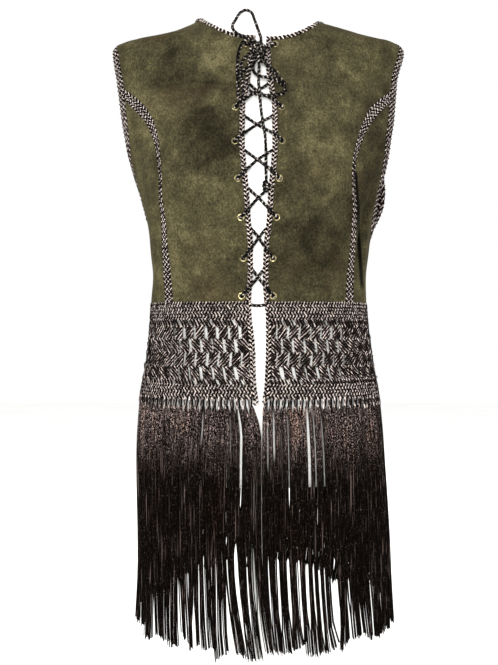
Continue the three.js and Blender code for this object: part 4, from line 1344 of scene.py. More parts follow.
def course_strands(course):
    """The strands of one course: feet and heads as (share, height), which are pale, and spans.

    A cluster of SLOPED strands or more is a band of parallel slopes, cut off at its sides.
    """
    top, bottom, lean, _, strands, _ = course
    first, width = cluster_spans(course)
    count, middle = len(first), first + width / 2
    feet, heads, pale = [], [], []
    for strand in range(strands):
        if strands < SLOPED:
            at = middle + width * ((strand + 0.5) / strands - 0.5)
            low, high = np.full(count, bottom), np.full(count, top)
            reach = np.full(count, lean / 2)
        else:
            rise = SLOPE * strands_rise(top)
            half = width * GIRTH / 2
            centre = (bottom + top) / 2 + (strand - (strands - 1) / 2) * SLOPE_PITCH
            ends = [np.clip((z - centre) / rise, -half, half) for z in (bottom, top)]
            low, high = [centre + end * rise for end in ends]
            at, reach = middle + (ends[0] + ends[1]) / 2 / GIRTH, (ends[1] - ends[0]) / 2
            at = at + lean / GIRTH * ((low + high) / 2 - (bottom + top) / 2) / (top - bottom)
        feet.append(np.stack([at - reach / GIRTH, low], -1))
        heads.append(np.stack([at + reach / GIRTH, high], -1))
        number = np.arange(count) if strands == 1 else np.full(count, strand)
        pale.append(number % 2 == 0)
    feet, heads, pale = [np.concatenate(values) for values in (feet, heads, pale)]
    inside = (np.minimum(feet, heads)[:, 0] > 0.001) & (np.maximum(feet, heads)[:, 0] < 0.999)
    return feet[inside], heads[inside], pale[inside], (first, width)


CLUSTER = {"thick": 1, "shade": 0.06, "out": 0.5}
CLOSE = {"thick": 0.95, "shade": 0, "out": 0.7}
# painted_side_shade is painted shade: the band's stitches are darker towards the sides of the waist
BAND_YARN = {"pale": 1.55, "dark": 2.2, "pale_tone": 0.78, "dark_tone": 0.08, "painted_side_shade": 0.07}


def course_stitches(course, feet, heads, pale):
    """The stitches of one course, each reaching a little over its neighbours' ends."""
    work = CLUSTER if course[4] > 1 else CLOSE
    thick = np.where(pale, BAND_YARN["pale"], BAND_YARN["dark"]) * work["thick"]
    wave = chance.uniform(-0.4, 0.4, len(feet))
    start = band_spot(feet[:, 0], feet[:, 1] - 0.8 + wave)
    end = band_spot(heads[:, 0], heads[:, 1] + 0.8 + wave)
    # Painted shade: the stitches darken towards the sides of the waist, where they turn from the
    # light; the open courses are also set a little darker in tone.
    shade = BAND_YARN["painted_side_shade"] * abs(np.sin(2 * math.pi * feet[:, 0])) + work["shade"]
    tone = np.where(pale, BAND_YARN["pale_tone"], BAND_YARN["dark_tone"]) - shade
    return lay(start, end, thick, tone, work["out"], 1.08)


def band_borders():
    """The edging runs on down both sides of the band's front opening."""
    batches = []
    for share in (0, 1):
        z = np.linspace(BAND_HEM + 2, SUEDE_HEM - 1, 60)
        inward = (1 if share == 0 else -1) * EDGE_BRAID / GIRTH
        strip = Strip(band_spot(share + inward, z), band_spot(share, z))
        batches += herringbone(strip, **EDGE_STITCH)
    return batches


worked = [(course, *course_strands(course)) for course in COURSES]
close_courses = [row for row in worked if row[0][4] == 1]
open_courses = [row for row in worked if row[0][4] > 1]
band_close = crocheted("band_close_courses", [course_stitches(*row[:4]) for row in close_courses])
open_stitches = [course_stitches(*row[:4]) for row in open_courses]
band_open = crocheted("band_open_courses", open_stitches + band_borders())
print("band triangles:", triangles(band_close), triangles(band_open))

# %% [markdown]
# Behind the stitches lies the band's ground: a plain ring for the close courses, and a
# leaning patch of its own for each cluster, so that the slits stay open. This is the
# piece that stands for the band as a sheet of cloth.


# %% Band ground
BEHIND = 0.35
OVERLAP = 0.6


def band_ground():
    vertices, faces = [], []

    def panel(low, high, bottom, top, rows, columns):
        """A wall from one pair of shares at its bottom to another at its top."""
        up = np.linspace(0, 1, rows)[:, None]
        shares = between(low[0], low[1], np.linspace(0, 1, columns)) + (high[0] - low[0]) * up
        spots = band_spot(shares, between(bottom, top, up))
        faces.extend(wall_faces(rows, columns, sum(len(v) for v in vertices)))
        for out in (GROUND / 2 - BEHIND, -GROUND / 2 - BEHIND):
            vertices.append(lifted(spots, out).reshape(-1, 3))

    tops = [row[0][0] for row in close_courses]
    bottoms = [row[0][1] for row in close_courses]
    upper = sum(top > BAND_MIDDLE for top in tops)
    for low, high in ((bottoms[upper - 1] - 1, SUEDE_HEM - GAP), (BAND_HEM + 10, tops[upper] + 1)):
        panel((0, 1), (0, 1), low, high, 6, 241)
    for (top, bottom, lean, *_), _, _, _, (first, width) in open_courses:
        for ends in np.stack([first, first + width], -1):
            low, high = [np.clip(ends + turn * lean / GIRTH / 2, 0, 1) for turn in (-1, 1)]
            if low[1] > low[0] and high[1] > high[0]:
                panel(low, high, bottom - OVERLAP, top + OVERLAP, 3, 3)
    return solid("crocheted_band", np.concatenate(vertices), faces, GROUND_LOOK)


band = band_ground()
print("band ground triangles:", triangles(band))

# %% [markdown]
# ## Fringe
#
# Bundles of yarn are knotted into the band's lower edge, a knot every few millimetres,
# and hang as loose strands. Lower down the strands gather into locks with gaps between
# them. A parting is such a gap: it pushes the strands on both sides of it away, over its
# own stretch of height. The partings of the front are listed one by one, and those of the
# sides and back are drawn at random in the same sizes.

# %% Partings
TIPS = {"front": 150, "side": 170, "back": 216}
FRINGE_TOP = BAND_HEM + 1
BUNDLE_PITCH = 7.5
FRONT_PARTINGS = [  # x, width, top, bottom
    [-31.5, 3.4, 488, 330],
    [-45, 1.6, 482, 400],
    [-60, 1.4, 470, 330],
    [-83, 2.0, 480, 418],
    [-91, 1.4, 480, 392],
    [-103, 1.3, 480, 452],
    [6, 1.8, 470, 430],
    [16, 1.7, 472, 380],
    [24, 3.0, 482, 396],
    [35, 1.5, 470, 330],
    [44, 1.6, 480, 350],
    [62, 1.3, 480, 420],
    [71, 4.6, 486, 350],
    [79, 2.4, 486, 340],
    [91, 2.4, 480, 340],
    [131, 1.2, 440, 330],
    [-117, 1, 250, 170],
    [-98, 3.4, 215, 150],
    [-89.5, 1.2, 285, 205],
    [-76, 1, 280, 214],
    [-51, 1, 215, 150],
    [-40, 4.6, 300, 140],
    [-25, 1.8, 300, 180],
    [-16.5, 3.6, 300, 205],
    [3, 1.8, 262, 180],
    [15.5, 1.6, 280, 200],
    [28.5, 3, 300, 185],
    [41.5, 3.4, 300, 195],
    [55.5, 4, 296, 172],
    [67.5, 4, 296, 182],
    [76.5, 2.2, 290, 190],
    [85, 3.2, 290, 164],
    [102, 9, 285, 166],
    [123, 3, 262, 195],
    [134, 1.4, 262, 205],
]


def share_at(x, z):
    """The share of the way round the band at a sideways place of the front."""
    angle = flat_spot(x, z, 1)[0] % (2 * math.pi)
    first, last = front_angles(BAND_MIDDLE)
    return np.interp((angle - first) / (last - first), GIRTH_SHARES, GIRTH_RUN)


def partings():
    """All partings, as (place round the band in millimetres, width, top, bottom)."""
    rows = [[share_at(x, (top + bottom) / 2) * GIRTH, width, top, bottom]
            for x, width, top, bottom in FRONT_PARTINGS]
    place = GIRTH * 0.22
    while place < GIRTH * 0.78:
        from_back = abs(place / GIRTH - 0.5)
        wide = chance.uniform(1.6, 5) * (1 if from_back < 0.2 else 0.5)
        foot = TIPS["back" if from_back < 0.25 else "side"]
        rows.append([place, wide, foot + chance.uniform(60, 130), foot - 20])
        beside = place + chance.uniform(-9, 9)
        rows.append([beside, chance.uniform(1, 2.6), 484, chance.uniform(340, 440)])
        place += chance.uniform(14, 26)
    return np.array(rows)


PARTINGS = partings()
PARTED = {"reach": 8.0, "opening": 34.0, "closing": 16, "open_foot": 160}


def parted(place, z):
    """How far the partings push a strand along the band at its place and height."""
    push = np.zeros(np.broadcast_shapes(place.shape, z.shape))
    for middle, width, top, bottom in PARTINGS:
        away = place - middle
        near = np.clip(1 - abs(away) / max(PARTED["reach"], width * 2.2), 0, 1)
        opened = np.clip((top - z) / min(PARTED["opening"], (top - bottom) / 2.2), 0, 1)
        closed = np.clip((z - bottom) / PARTED["closing"] + (bottom < PARTED["open_foot"]), 0, 1)
        open_share = (opened * closed) * (2 - opened * closed)
        push += np.where(away < 0, -1, 1) * near**1.4 * width / 2 * open_share
    return push


# %% [markdown]
# Every strand is a line of points down the surface of the fringe. Strands of one lock
# share a sway and a curl, and their lengths are ragged. A Geometry Nodes tree sweeps a
# four-sided section along all of them, a little thinner towards the tips.


# %% The fringe tree
def strand_tree():
    tree, (lines, width, material) = node_group(
        "strands", ("Width", "NodeSocketFloat"), ("Material", "NodeSocketMaterial"))
    curves = tree.add("GeometryNodeMeshToCurve", {0: lines})
    rim = tree.add("GeometryNodeCurvePrimitiveCircle", {"Resolution": 4, "Radius": 0.5})
    share = tree.add("GeometryNodeSplineParameter")
    taper = (1 - share * share * share * 0.35) * width
    curves = store(tree, curves, "girth", taper * named(tree, "wide"))
    swept = tree.add("GeometryNodeCurveToMesh", {
        "Curve": curves, "Profile Curve": rim, "Scale": named(tree, "girth"), "Fill Caps": True})
    return finish_group(tree, swept, material)


STRAND_TREE = strand_tree()


def lines_mesh(name, lines, **attributes):
    """A mesh of open lines, each an array of points, with one value a line for attributes."""
    counts = [len(line) for line in lines]
    starts = np.cumsum([0] + counts[:-1])
    edges = [(s + i, s + i + 1) for s, n in zip(starts, counts) for i in range(n - 1)]
    each = {label: np.repeat(values, counts) for label, values in attributes.items()}
    return loose_mesh(name, np.concatenate(lines), edges, **each)


# %% Strands
STRANDS = 12
STEPS = 16
STRAND = {"width": 2.0, "thinnest": 0.8, "thickest": 1.15, "aside": 0.06, "wander": 0.5}
HELD = {"width": 4.3, "varies": 1.3, "until": 0.038}
FAN = BUNDLE_PITCH * 1.04
LOCK = {"width": 14, "length": 4.5, "slant": 9, "sway": 1.3, "wave": 1.2, "curl": 2.4, "lean": 7}
RAGGED = 2.6
LAYER = {"top": 1.5, "growth": 3.2}
LEFT_EDGE = {"reach": 70, "push": 9.2, "drop": 34, "lean": 5}


def tip_height(angle):
    facing = np.cos(angle)
    far = np.where(facing > 0, TIPS["front"], TIPS["back"])
    return TIPS["side"] + (far - TIPS["side"]) * abs(facing)


# One row a lock: how it sways sideways, curls outwards, differs in length and waves.
LOCK_COUNT = int(GIRTH / LOCK["width"])
LOCKS = chance.normal(0, 1, (LOCK_COUNT + 2, 4))


def fringe_strands(first_share, last_share):
    """The lines, widths and tones of the strands between two places of the band."""
    ends = [int(share * GIRTH / BUNDLE_PITCH) for share in (first_share, last_share)]
    bundles = np.arange(*ends)
    bundle = np.repeat(bundles, STRANDS)[:, None]
    each = (len(bundle), 1)
    down = np.linspace(0, 1, STEPS)[None] ** 1.3
    knot = (bundle + 0.5) * BUNDLE_PITCH
    spread = np.tile((np.arange(STRANDS) + 0.5) / STRANDS - 0.5, len(bundles))[:, None]
    spread = spread + chance.uniform(-STRAND["aside"], STRAND["aside"], each)
    layer = chance.uniform(-0.5, 0.5, each)

    # The knot holds its strands together, and they fan out just below it.
    held = HELD["width"] + HELD["varies"] * np.sin(bundle * 2.4)
    fan = held + (FAN - held) * np.clip(down / HELD["until"], 0, 1) ** 2

    # The lock says how the strand sways, and its tip is ragged.
    at_lock = knot / GIRTH * LOCK_COUNT + spread * 0.5
    lock = LOCKS[np.clip(at_lock.astype(int), 0, LOCK_COUNT)][:, 0]
    sway, curl, longer, wave = [lock[:, i:i + 1] for i in range(4)]
    tip = tip_height(band_spot(knot / GIRTH, BAND_MIDDLE)[..., 0]) + longer * LOCK["length"]
    tip = tip + (at_lock % 1 - 0.5) * wave * LOCK["slant"]
    tip = tip + abs(chance.normal(0, RAGGED, each)) + chance.normal(0, 1, each)
    z = FRINGE_TOP + (tip - FRINGE_TOP) * down

    # Partings, wander and sway move it along the band. Beside the left front edge the
    # strands are also pushed over towards the opening.
    low = np.clip((down - 0.45) / 0.55, 0, 1)
    turns = down * chance.uniform(4, 9, each) + chance.uniform(0, 6, each)
    home = knot + spread * FAN
    near = np.clip((home - GIRTH) / LEFT_EDGE["reach"] + 1, 0, 1)
    push = near * LEFT_EDGE["push"]
    place = knot + spread * fan + parted(home + push, z)
    place = place + chance.normal(0, STRAND["wander"], each) * np.sin(turns) * down
    place = place + sway * LOCK["sway"] * low**1.6
    place = place + wave * LOCK["wave"] * np.sin(low * 5) * low
    place = place + (LOCK["lean"] + near * LEFT_EDGE["lean"]) * low**2.2
    place = place + push * np.clip((FRINGE_TOP - z) / LEFT_EDGE["drop"], 0, 1)

    spots = band_spot(np.clip(place / GIRTH, -0.003, 1.022), np.maximum(z, CLOTH.rows[-1, 0]))
    out = layer * (LAYER["top"] + LAYER["growth"] * down) + curl * LOCK["curl"] * low**2
    lines = lifted(spots, out + chance.normal(0, STRAND["wander"], each) * down)
    lines[..., 2] += z - spots[..., 1]
    wide = chance.uniform(STRAND["thinnest"], STRAND["thickest"], len(bundle))
    return list(lines), wide, chance.uniform(0, 1, len(bundle))


def fringe(name, first_share, last_share):
    lines, wide, tone = fringe_strands(first_share, last_share)
    mesh = lines_mesh(name, lines, wide=wide, tone=tone)
    return grown(name, mesh, STRAND_TREE, Width=STRAND["width"] * MM, Material=FRINGE_LOOK)


fringes = {
    "fringe_front_right": fringe("front_fringe_right", 0, 0.25),
    "fringe_back_right": fringe("back_fringe_right", 0.25, 0.5),
    "fringe_back_left": fringe("back_fringe_left", 0.5, 0.75),
    "fringe_front_left": fringe("front_fringe_left", 0.75, 1),
}
print("fringe triangles:", {name: triangles(made) for name, made in fringes.items()})

# %% [markdown]
# Each bundle is fixed by a knot: two upright loops side by side over the band's edge.

# %% Fringe knots
KNOT = {"apart": 2.7, "below": 1.5, "above": 11.5, "thick": 2.9, "out": 0.6}
knots = (np.arange(int(GIRTH / BUNDLE_PITCH)) + 0.5) * BUNDLE_PITCH / GIRTH
knot_batches = []
for way, tone in ((-1, 0.62), (1, 0.25)):
    aside = way * KNOT["apart"] / 2 / GIRTH
    low = BAND_HEM - KNOT["below"] + chance.normal(0, 0.6, len(knots))
    foot = band_spot(knots + aside * 0.9, low)
    head = band_spot(knots + aside * 1.3, BAND_HEM + KNOT["above"])
    knot_batches.append(lay(foot, head, KNOT["thick"], tone, KNOT["out"], 1.1))
fringe_knots = crocheted("fringe_knots", knot_batches, rings=5)

# %% [markdown]
# ## Lacing and bow
#
# The lace is a cord of three strands twisted together, one of them pale, which is what
# makes its flecks. A Geometry Nodes tree sweeps three circles along a line and turns
# them steadily by tilting the curve. The held part of the lace crosses from eyelet to
# eyelet: out of the eyelet, over its own edging, across, and behind the other edging.


# %% The cord tree
CORD = 1.8
PLY = {"radius": 1.35, "offset": 1.2, "pitch": 6.4}


def cord_tree():
    tree, (lines, pitch, material) = node_group(
        "twisted_cord", ("Pitch", "NodeSocketFloat"), ("Material", "NodeSocketMaterial"))
    curves = tree.add("GeometryNodeMeshToCurve", {0: lines})
    curves = tree.add("GeometryNodeResampleCurve", {
        "Curve": curves, "Length": 1.0 * MM}, mode="LENGTH")
    run = tree.add("GeometryNodeSplineParameter", output=1)
    curves = tree.add("GeometryNodeSetCurveTilt", {
        "Curve": curves, "Tilt": run / pitch * (2 * math.pi)})
    middles = tree.add("GeometryNodeCurvePrimitiveCircle", {
        "Resolution": 3, "Radius": PLY["offset"] * MM})
    ply = tree.add("GeometryNodeCurvePrimitiveCircle", {
        "Resolution": 5, "Radius": PLY["radius"] * MM})
    plies = tree.add("GeometryNodeInstanceOnPoints", {"Points": middles, "Instance": ply})
    plies = store(tree, plies, "strand", tree.add("GeometryNodeInputIndex"), "INSTANCE")
    plies = tree.add("GeometryNodeRealizeInstances", {0: plies})
    swept = tree.add("GeometryNodeCurveToMesh", {
        "Curve": curves, "Profile Curve": plies, "Fill Caps": True})
    return finish_group(tree, swept, material)


CORD_TREE = cord_tree()


def before(x, z, out):
    """A point in front of the cloth: sideways place, height, and how far out of it."""
    return lifted(flat_spot(x, z, 1), out)


def cord(name, *routes):
    """Twisted cord along one or more routes, each a list of points in millimetres."""
    lines = lines_mesh(name, [smooth_line(route, 10) for route in routes])
    return grown(name, lines, CORD_TREE, Pitch=PLY["pitch"] * MM, Material=CORD_LOOK)


# %% The held lace
BOW_KNOT = {"x": -2, "z": 957, "out": 8.6, "entry": 4, "half": (10, 6, 13)}
OVER_BRAID = BRAID / 2 + CORD + 0.8
OVER_FLANGE = SUEDE / 2 + EYELET["lift"] + EYELET["height"] + CORD + 0.5
CROSSING = CORD + 0.4
TURN = 2
PAST = 1


def eye_at(side, z):
    return np.array([OPENING.at(side, z) + SIGN[side] * EYELET["inset"], z])


def on_way(start, end, x, out):
    share = (x - start[0]) / (end[0] - start[0])
    return before(x, start[1] + (end[1] - start[1]) * share, out)


def edge_on_way(side, start, end):
    """Where the way from one place to another passes a side's free edge."""
    x = OPENING.at(side, start[1])
    for _ in range(5):
        x = OPENING.at(side, start[1] + (end[1] - start[1]) * (x - start[0]) / (end[0] - start[0]))
    return x


def lacing(first_side, over):
    points = []
    for i in range(len(EYELET_ROWS) - 1):
        here, there = [("left", "right")[(first_side + i + n) % 2] for n in (0, 1)]
        eye, far = eye_at(here, EYELET_ROWS[i]), eye_at(there, EYELET_ROWS[i + 1])
        z = (eye[1] + far[1]) / 2
        cross = np.array([(OPENING.at("left", z) + OPENING.at("right", z)) / 2, z])
        near, away = SIGN[here], SIGN[there]
        edge, far_edge = edge_on_way(here, eye, cross), edge_on_way(there, far, cross)
        if i == 0:
            points.append(before(*eye, -SUEDE / 2))
        points += [
            before(*eye, SUEDE),
            on_way(eye, cross, eye[0] - near * TURN, OVER_FLANGE),
            on_way(eye, cross, edge + near * EDGE_BRAID, OVER_BRAID),
            on_way(eye, cross, edge - near * PAST, OVER_BRAID),
            before(*cross, CROSSING if over == (i % 2 == 0) else -CROSSING),
            on_way(cross, far, far_edge - away * PAST, -OVER_BRAID),
            on_way(cross, far, far_edge + away * EDGE_BRAID, -OVER_BRAID),
            on_way(cross, far, far[0] - away * TURN, -OVER_BRAID),
            before(*far, -SUEDE),
        ]
    side = ("left", "right")[(first_side + len(EYELET_ROWS) - 1) % 2]
    eye = eye_at(side, EYELET_ROWS[-1])
    knot = np.array([BOW_KNOT["x"], BOW_KNOT["z"] - SIGN[side] * BOW_KNOT["entry"]])
    points += [
        before(*eye, SUEDE),
        on_way(eye, knot, eye[0] - SIGN[side] * TURN, OVER_FLANGE),
        on_way(eye, knot, knot[0] + SIGN[side] * BOW_KNOT["half"][0], OVER_FLANGE + PAST),
        before(*knot, BOW_KNOT["out"]),
    ]
    return points


def lacing_tie():
    low = EYELET_ROWS[0] - 12
    points = []
    for side in ("left", "right"):
        sign = SIGN[side]
        eye, edge = eye_at(side, EYELET_ROWS[0]), OPENING.at(side, low)
        behind = SUEDE / 2 + GAP + CORD
        half = [
            before(eye[0] + sign * PAST, eye[1], -behind),
            before(eye[0] - sign * 3, eye[1] - TURN, -behind - 0.8),
            before(edge + sign * EDGE_BRAID / 2, low + 3, -OVER_BRAID),
            before(edge - sign * PAST, low, -OVER_BRAID),
        ]
        points += half if side == "left" else half[::-1]
    return points


laces = {
    "lacing_a": cord("lace_left_first", lacing(0, True)),
    "lacing_b": cord("lace_right_first", lacing(1, False)),
    "lacing_tie": cord("lace_behind_hem", lacing_tie()),
}
print("lace triangles:", {name: triangles(made) for name, made in laces.items()})

# %% [markdown]
# The free loops and ends of the bow hang on the chest. Their routes are listed: each row
# is a point of the cord's middle, as its sideways place, its height and how far it lies
# out of the cloth. The upper loop lies over the neck of the form.

# %% The bow
BOW = {
    "bow_loop_up": [
        [-3, 965, 8.5], [-8.5, 973.5, 6.6], [-15, 978, 5], [-21.5, 980.5, 4.2], [-30, 985, 4.2],
        [-36.5, 991.5, 4], [-38, 1000, 1.5], [-33.5, 1013, -1.5], [-28, 1023, -2.2],
        [-19.5, 1028, -2.4], [-12, 1023, -2.2], [-7.5, 1011, -1.5], [-3.5, 996, 1],
        [-0.5, 984, 4.8], [1.5, 975, 7], [0, 966, 8.5],
    ],
    "bow_loop_left": [
        [-4, 961, 11], [-11, 969, 11.5], [-17, 972.5, 10.8], [-22.5, 970, 9.5], [-27, 962.5, 7],
        [-30, 951, 4.8], [-30.8, 937, 4.6], [-30.6, 925, 5.2], [-29.8, 908, 4.6], [-29.4, 896, 4.6],
        [-28.5, 886, 6.2], [-26.2, 880.6, 12], [-23.8, 883.5, 17.6], [-22.8, 892, 19.6],
        [-23.6, 903, 18], [-25.2, 916, 13.8], [-26, 929, 10.4], [-23.4, 941, 8.8], [-17, 950, 8.5],
        [-10, 954, 8.5], [-4, 955, 8.5],
    ],
    "bow_loop_right": [
        [-3, 951, 8.5], [-7, 941, 8.4], [-9.5, 932, 8], [-7.5, 924.5, 6.4], [0, 920, 5.4],
        [11, 918, 5.6], [21, 915.5, 4], [29, 910, 3.4], [34, 903, 3.4], [31, 896, 4.2],
        [22, 892.5, 6.4], [11, 891, 6.6], [0, 891, 7], [-10, 894.5, 7.6], [-16.5, 902, 6],
        [-18, 913, 5.2], [-16, 925, 7], [-14, 935, 8.4], [-10.5, 944, 8.6], [-5, 953, 8.5],
    ],
    "bow_end_short": [
        [1, 953, 9], [5, 944, 9], [10, 935, 8.6], [15.5, 927, 7], [21.5, 920, 8], [27, 914.5, 8],
        [33, 908, 7.8],
    ],
    "bow_end_long": [
        [-1, 955, 12], [-1.5, 940, 13], [-1.6, 925, 10.4], [-2.2, 910, 9.8], [-1.2, 894, 11.4],
        [0.6, 874, 8.6], [2.4, 858, 7.6], [5.6, 838, 7.4], [7, 820, 7], [7.2, 800, 7.4],
        [7, 785, 7], [7.4, 774.5, 7],
    ],
}
bow_routes = {node: [before(*row) for row in rows] for node, rows in BOW.items()}
bow = {node: cord(node.replace("bow_", "lace_"), route) for node, route in bow_routes.items()}

# %% [markdown]
# A knot is the same cord wound over itself. Its windings are tilted rings on a rounded
# lump: those of the bow's knot cross each other in a tangle, and those of the small knot
# at the long end lie nearly level.


# %% Knots
BOW_TILTS = [(0, 90, 0.1), (40, 84, -0.2), (80, 70, 0.25), (130, 62, -0.3), (20, 40, 0.3),
             (200, 30, -0.45), (300, 48, 0.55), (160, 80, 0.5), (340, 76, -0.55)]
END_TILTS = [(0, 14, 0.5), (90, 20, 0.05), (180, 16, -0.45), (30, 78, 0.1)]
END_KNOT = {"half": (4.8, 4.2, 8.4), "lean": 0.6}


def windings(centre, half, slope, tilts, steps=9):
    """Closed rings over an ellipsoid: each tilt gives a ring's axis and how far off centre."""
    routes = []
    for turn, lean, shift in tilts:
        turn, lean = math.radians(turn), math.radians(lean)
        level = math.sin(lean)
        axis = np.array([level * math.cos(turn), level * math.sin(turn), math.cos(lean)])
        side = unit(np.cross(axis, [0.3, 1, 0.2]))
        other = np.cross(axis, side)
        angle = circle(steps)[:, None]
        ring = (np.cos(angle) * side + np.sin(angle) * other) * math.sqrt(1 - shift**2)
        ring = (ring + axis * shift) * (np.array(half) - CORD * 0.8)
        cos, sin = math.cos(slope), math.sin(slope)
        tipped = np.stack([ring[:, 0], ring[:, 1] * cos - ring[:, 2] * sin,
                           ring[:, 1] * sin + ring[:, 2] * cos], -1)
        routes.append(np.concatenate([tipped, tipped[:2]]) + centre)
    return routes


knot_out = surface_frame(*flat_spot(BOW_KNOT["x"], BOW_KNOT["z"], 1))[2]
bow_knot = cord("lace_bow_knot", *windings(
    before(BOW_KNOT["x"], BOW_KNOT["z"], BOW_KNOT["out"]), BOW_KNOT["half"],
    math.atan2(-knot_out[2], -knot_out[1]), BOW_TILTS))

x, z, out = BOW["bow_end_long"][-1]
end_knot = cord("lace_end_knot", *windings(
    before(x - END_KNOT["lean"], z - END_KNOT["half"][2] + GAP, out - GAP), END_KNOT["half"], 0,
    END_TILTS, 7))

# %% [markdown]
# ## Eyelets
#
# An eyelet is a brass tube whose rim is rolled over the face of the suede. One is turned
# from its section, and Geometry Nodes put a copy at each hole, facing out of the cloth.


# %% Eyelets
def lathed(profile, count, close=True):
    """Points and faces of a profile of (radius, height) turned about the upright axis."""
    vertices = [[r * math.cos(t), r * math.sin(t), h] for r, h in profile for t in circle(count)]
    return vertices, ring_faces(len(profile), count, close=close)


def arc(middle, height, radius, *degrees):
    """Points of a circle in a profile."""
    return [(middle + radius * math.cos(a), height + radius * math.sin(a))
            for a in np.radians(degrees)]


def eyelet_shape():
    face, barrel, hole, roll = SUEDE / 2, EYELET["barrel"], EYELET["hole"], EYELET["roll"]
    top = face + EYELET["lift"]
    profile = [(barrel, -face), (barrel, face)]
    profile += arc(EYELET["flange"] - 0.1 - roll, top + 0.1, roll, -60, -20, 20, 60, 100)
    profile += arc(hole + roll, top + 0.05, roll, 100, 140, 175)
    profile += [(hole, face), (hole, -face)]
    return solid("eyelet", *lathed(profile, 20), BRASS_LOOK)


def copies_tree():
    tree, (points, shape, material) = node_group(
        "copies", ("Shape", "NodeSocketObject"), ("Material", "NodeSocketMaterial"))
    shape = tree.add("GeometryNodeObjectInfo", {"Object": shape}, 4)
    facing = tree.add("FunctionNodeAxesToRotation", {
        0: named(tree, "out", "FLOAT_VECTOR"), 1: named(tree, "along", "FLOAT_VECTOR")},
        primary_axis="Z", secondary_axis="X")
    placed = tree.add("GeometryNodeInstanceOnPoints", {
        "Points": points, "Instance": shape, "Rotation": facing})
    return finish_group(tree, placed, material)


eyelet = eyelet_shape()
places = np.concatenate([eyelet_spots(side) for side in SIGN])
across, _, away = surface_frame(*places.T)
holes = loose_mesh("eyelets", on_cloth(*places.T), out=away, along=unit(across))
eyelets = grown("eyelets", holes, copies_tree(), Shape=eyelet, Material=BRASS_LOOK)
bpy.data.objects.remove(eyelet)
print("eyelet triangles:", triangles(eyelets))

# %% [markdown]
# ## The dress form and its stand
#
# The form is a smooth limbless torso with a neck, closed flat at the bottom. It is the
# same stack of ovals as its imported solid, with many more of them, so its outline is
# smooth. The pole, its collar and the weighted base are turned shapes.

# %% Form
FORM_FOOT = 366
FORM_SIDES = 112
FORM = Table(["z", "width", "front", "back", "round"], [
    [1082, 54, 40, 50, 2],
    [1080, 59, 44, 54, 2],
    [1062, 64, 46, 55, 2],
    [1042, 69, 45, 52, 2],
    [1030, 76, 44, 50, 2],
    [1021, 80, 44, 50, 2],
    [1014.5, 86, 45, 51, 2],
    [1005, 115, 46.5, 56, 2],
    [999, 131, 48, 59, 2],
    [991, 159, 51, 62, 2],
    [984, 176, 53, 65, 2.05],
    [974, 186, 59, 69, 2.1],
    [930, 180, 71, 79, 2.15],
    [880, 172, 86, 86, 2.2],
    [840, 165, 97, 88, 2.25],
    [800, 158, 106, 87, 2.3],
    [765, 152, 110.5, 84.5, 2.3],
    [720, 148, 107.5, 80, 2.3],
    [655, 143, 93, 80, 2.3],
    [616, 142, 88, 83, 2.3],
    [550, 148, 90, 91, 2.3],
    [476, 158, 98, 101, 2.25],
    [410, 162, 103, 106, 2.2],
    [FORM_FOOT + 8, 160, 102, 105, 2.2],
    [FORM_FOOT, 154, 96, 99, 2.2],
])


def form_shape():
    levels = FORM.rows[:, 0]
    spans = [np.linspace(a, b, max(int((a - b) / 6), 2), endpoint=False)
             for a, b in zip(levels[:-1], levels[1:])]
    heights = np.concatenate(spans + [levels[-1:]])
    angle = circle(FORM_SIDES)
    rings = []
    for z in heights:
        depth = np.where(np.cos(angle) > 0, FORM.at("front", z), FORM.at("back", z))
        radius = oval(angle, FORM.at("width", z), depth, FORM.at("round", z))
        level = np.full(len(angle), z)
        rings.append(np.stack([radius * np.sin(angle), -radius * np.cos(angle), level], -1))
    faces = ring_faces(len(rings), FORM_SIDES)
    return solid("form", np.concatenate(rings), faces, JERSEY_LOOK, 40)


form = form_shape()
print("form triangles:", triangles(form))

# %% Stand
POLE = 12
BASE = {"radius": 214, "height": 8, "edge": 2}
COLLAR = {"rim": 30, "flat": 4, "height": 34, "wall": 5, "slope": 8}


def turned(name, profile, count, close=False):
    return solid(name, *lathed(profile, count, close), PAINT_LOOK, 35)


rim, edge = BASE["radius"], BASE["edge"]
foot = BASE["height"] + GAP
inner, outer = POLE + GAP, POLE + COLLAR["wall"]
pole = turned("pole", [(POLE, foot), (POLE, FORM_FOOT - GAP)], 32)
collar = turned("collar", [
    (inner, foot), (COLLAR["rim"], foot), (COLLAR["rim"], foot + COLLAR["flat"]),
    (outer, foot + COLLAR["slope"]), (outer, foot + COLLAR["height"] - 1),
    (outer - 1, foot + COLLAR["height"]), (inner, foot + COLLAR["height"])], 40, True)
base = turned("base", [
    (rim, 0), (rim, BASE["height"] - edge), (rim - edge * 0.3, BASE["height"] - edge * 0.3),
    (rim - edge, BASE["height"])], 96)

# %% [markdown]
# ## Floor and light
#
# A plain pale floor, and light as from large soft boxes: one in front, one in front to
# the left, a weak one to the right, one above, one behind, and an even white room.


# %% Floor and lights
FLOOR_HALF = 6
LIGHTS = {  # place, aim, size, power
    "front": [(-0.15, -2.9, 0.85), (0, 0, 0.6), 0.9, 66],
    "key": [(-1.7, -2.3, 1.9), (0, 0, 0.65), 0.8, 42],
    "fill": [(2.0, -2.2, 1.4), (0, 0, 0.6), 2.0, 8],
    "top": [(0.2, 0.3, 3.2), (0, 0, 0), 2.4, 25],
    "back": [(0.9, 2.7, 1.7), (0, 0, 0.6), 1.6, 40],
}


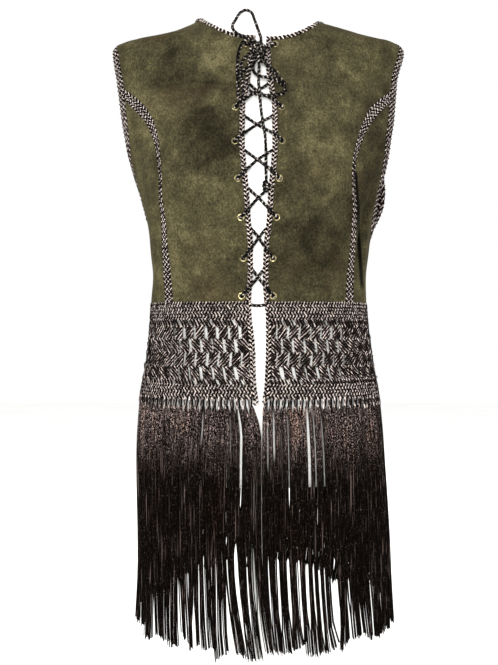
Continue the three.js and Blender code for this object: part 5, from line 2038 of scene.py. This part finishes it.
def floor():
    far = FLOOR_HALF
    corners = [(-far, -far, 0), (far, -far, 0), (far, far, 0), (-far, far, 0)]
    mesh = bpy.data.meshes.new("floor")
    mesh.from_pydata(corners, [], [(0, 1, 2, 3)])
    tree = Look("floor", Roughness=0.9, Specular_IOR_Level=0.1)
    cloudy = tree.noise(tree.place(), 3)
    colour = tree.mix(paint(254, 254, 253), paint(246, 246, 245), cloudy)
    mesh.materials.append(tree.finish(Base_Color=colour))
    return add_object("floor", mesh)


def soft_box(name, place, target, size, power):
    """A square lamp turned to its target. Places and sizes are in metres."""
    data = bpy.data.lights.new(name, "AREA")
    data.size = size
    data.energy = power
    lamp = add_object(name, data)
    lamp.location = place
    lamp.rotation_mode = "QUATERNION"
    lamp.rotation_quaternion = (Vector(target) - Vector(place)).to_track_quat("-Z", "Y")


floor()
for name, light in LIGHTS.items():
    soft_box(name, *light)
world = bpy.data.worlds.new("room")
world.use_nodes = True
background = world.node_tree.nodes["Background"]
background.inputs["Color"].default_value = (1, 1, 1, 1)
background.inputs["Strength"].default_value = 1.0
bpy.context.scene.world = world
bpy.context.scene.view_settings.view_transform = "Standard"

# %% [markdown]
# ## Telling the frame what stands for what
#
# Every piece rides on the one body and says which imported nodes it replaces, which are hidden.


# %% Riding and replacing
def stands_for(made, slot, *nodes):
    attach(made, "root")
    if nodes:
        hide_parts(*nodes)


for node, made in panels.items():
    stands_for(made, "suede", node)
for node, made in trims.items():
    stands_for(made, "crochet_yarn", node)
stands_for(band, "crochet_yarn", "crochet_band")
for made in (band_close, band_open, fringe_knots):
    stands_for(made, "crochet_yarn")
for node, made in fringes.items():
    stands_for(made, "fringe_yarn", node)
for node, made in {**laces, **bow}.items():
    stands_for(made, "lacing_cord", node)
stands_for(bow_knot, "lacing_cord", "bow_knot")
stands_for(end_knot, "lacing_cord", "bow_end_knot")
stands_for(eyelets, "eyelet_brass", *[f"eyelet_{side}_{i}" for side in SIGN for i in range(1, 9)])
stands_for(form, "form_jersey", "form_torso")
for made, node in ((pole, "stand_pole"), (collar, "stand_collar"), (base, "stand_base")):
    stands_for(made, "stand_paint", node)
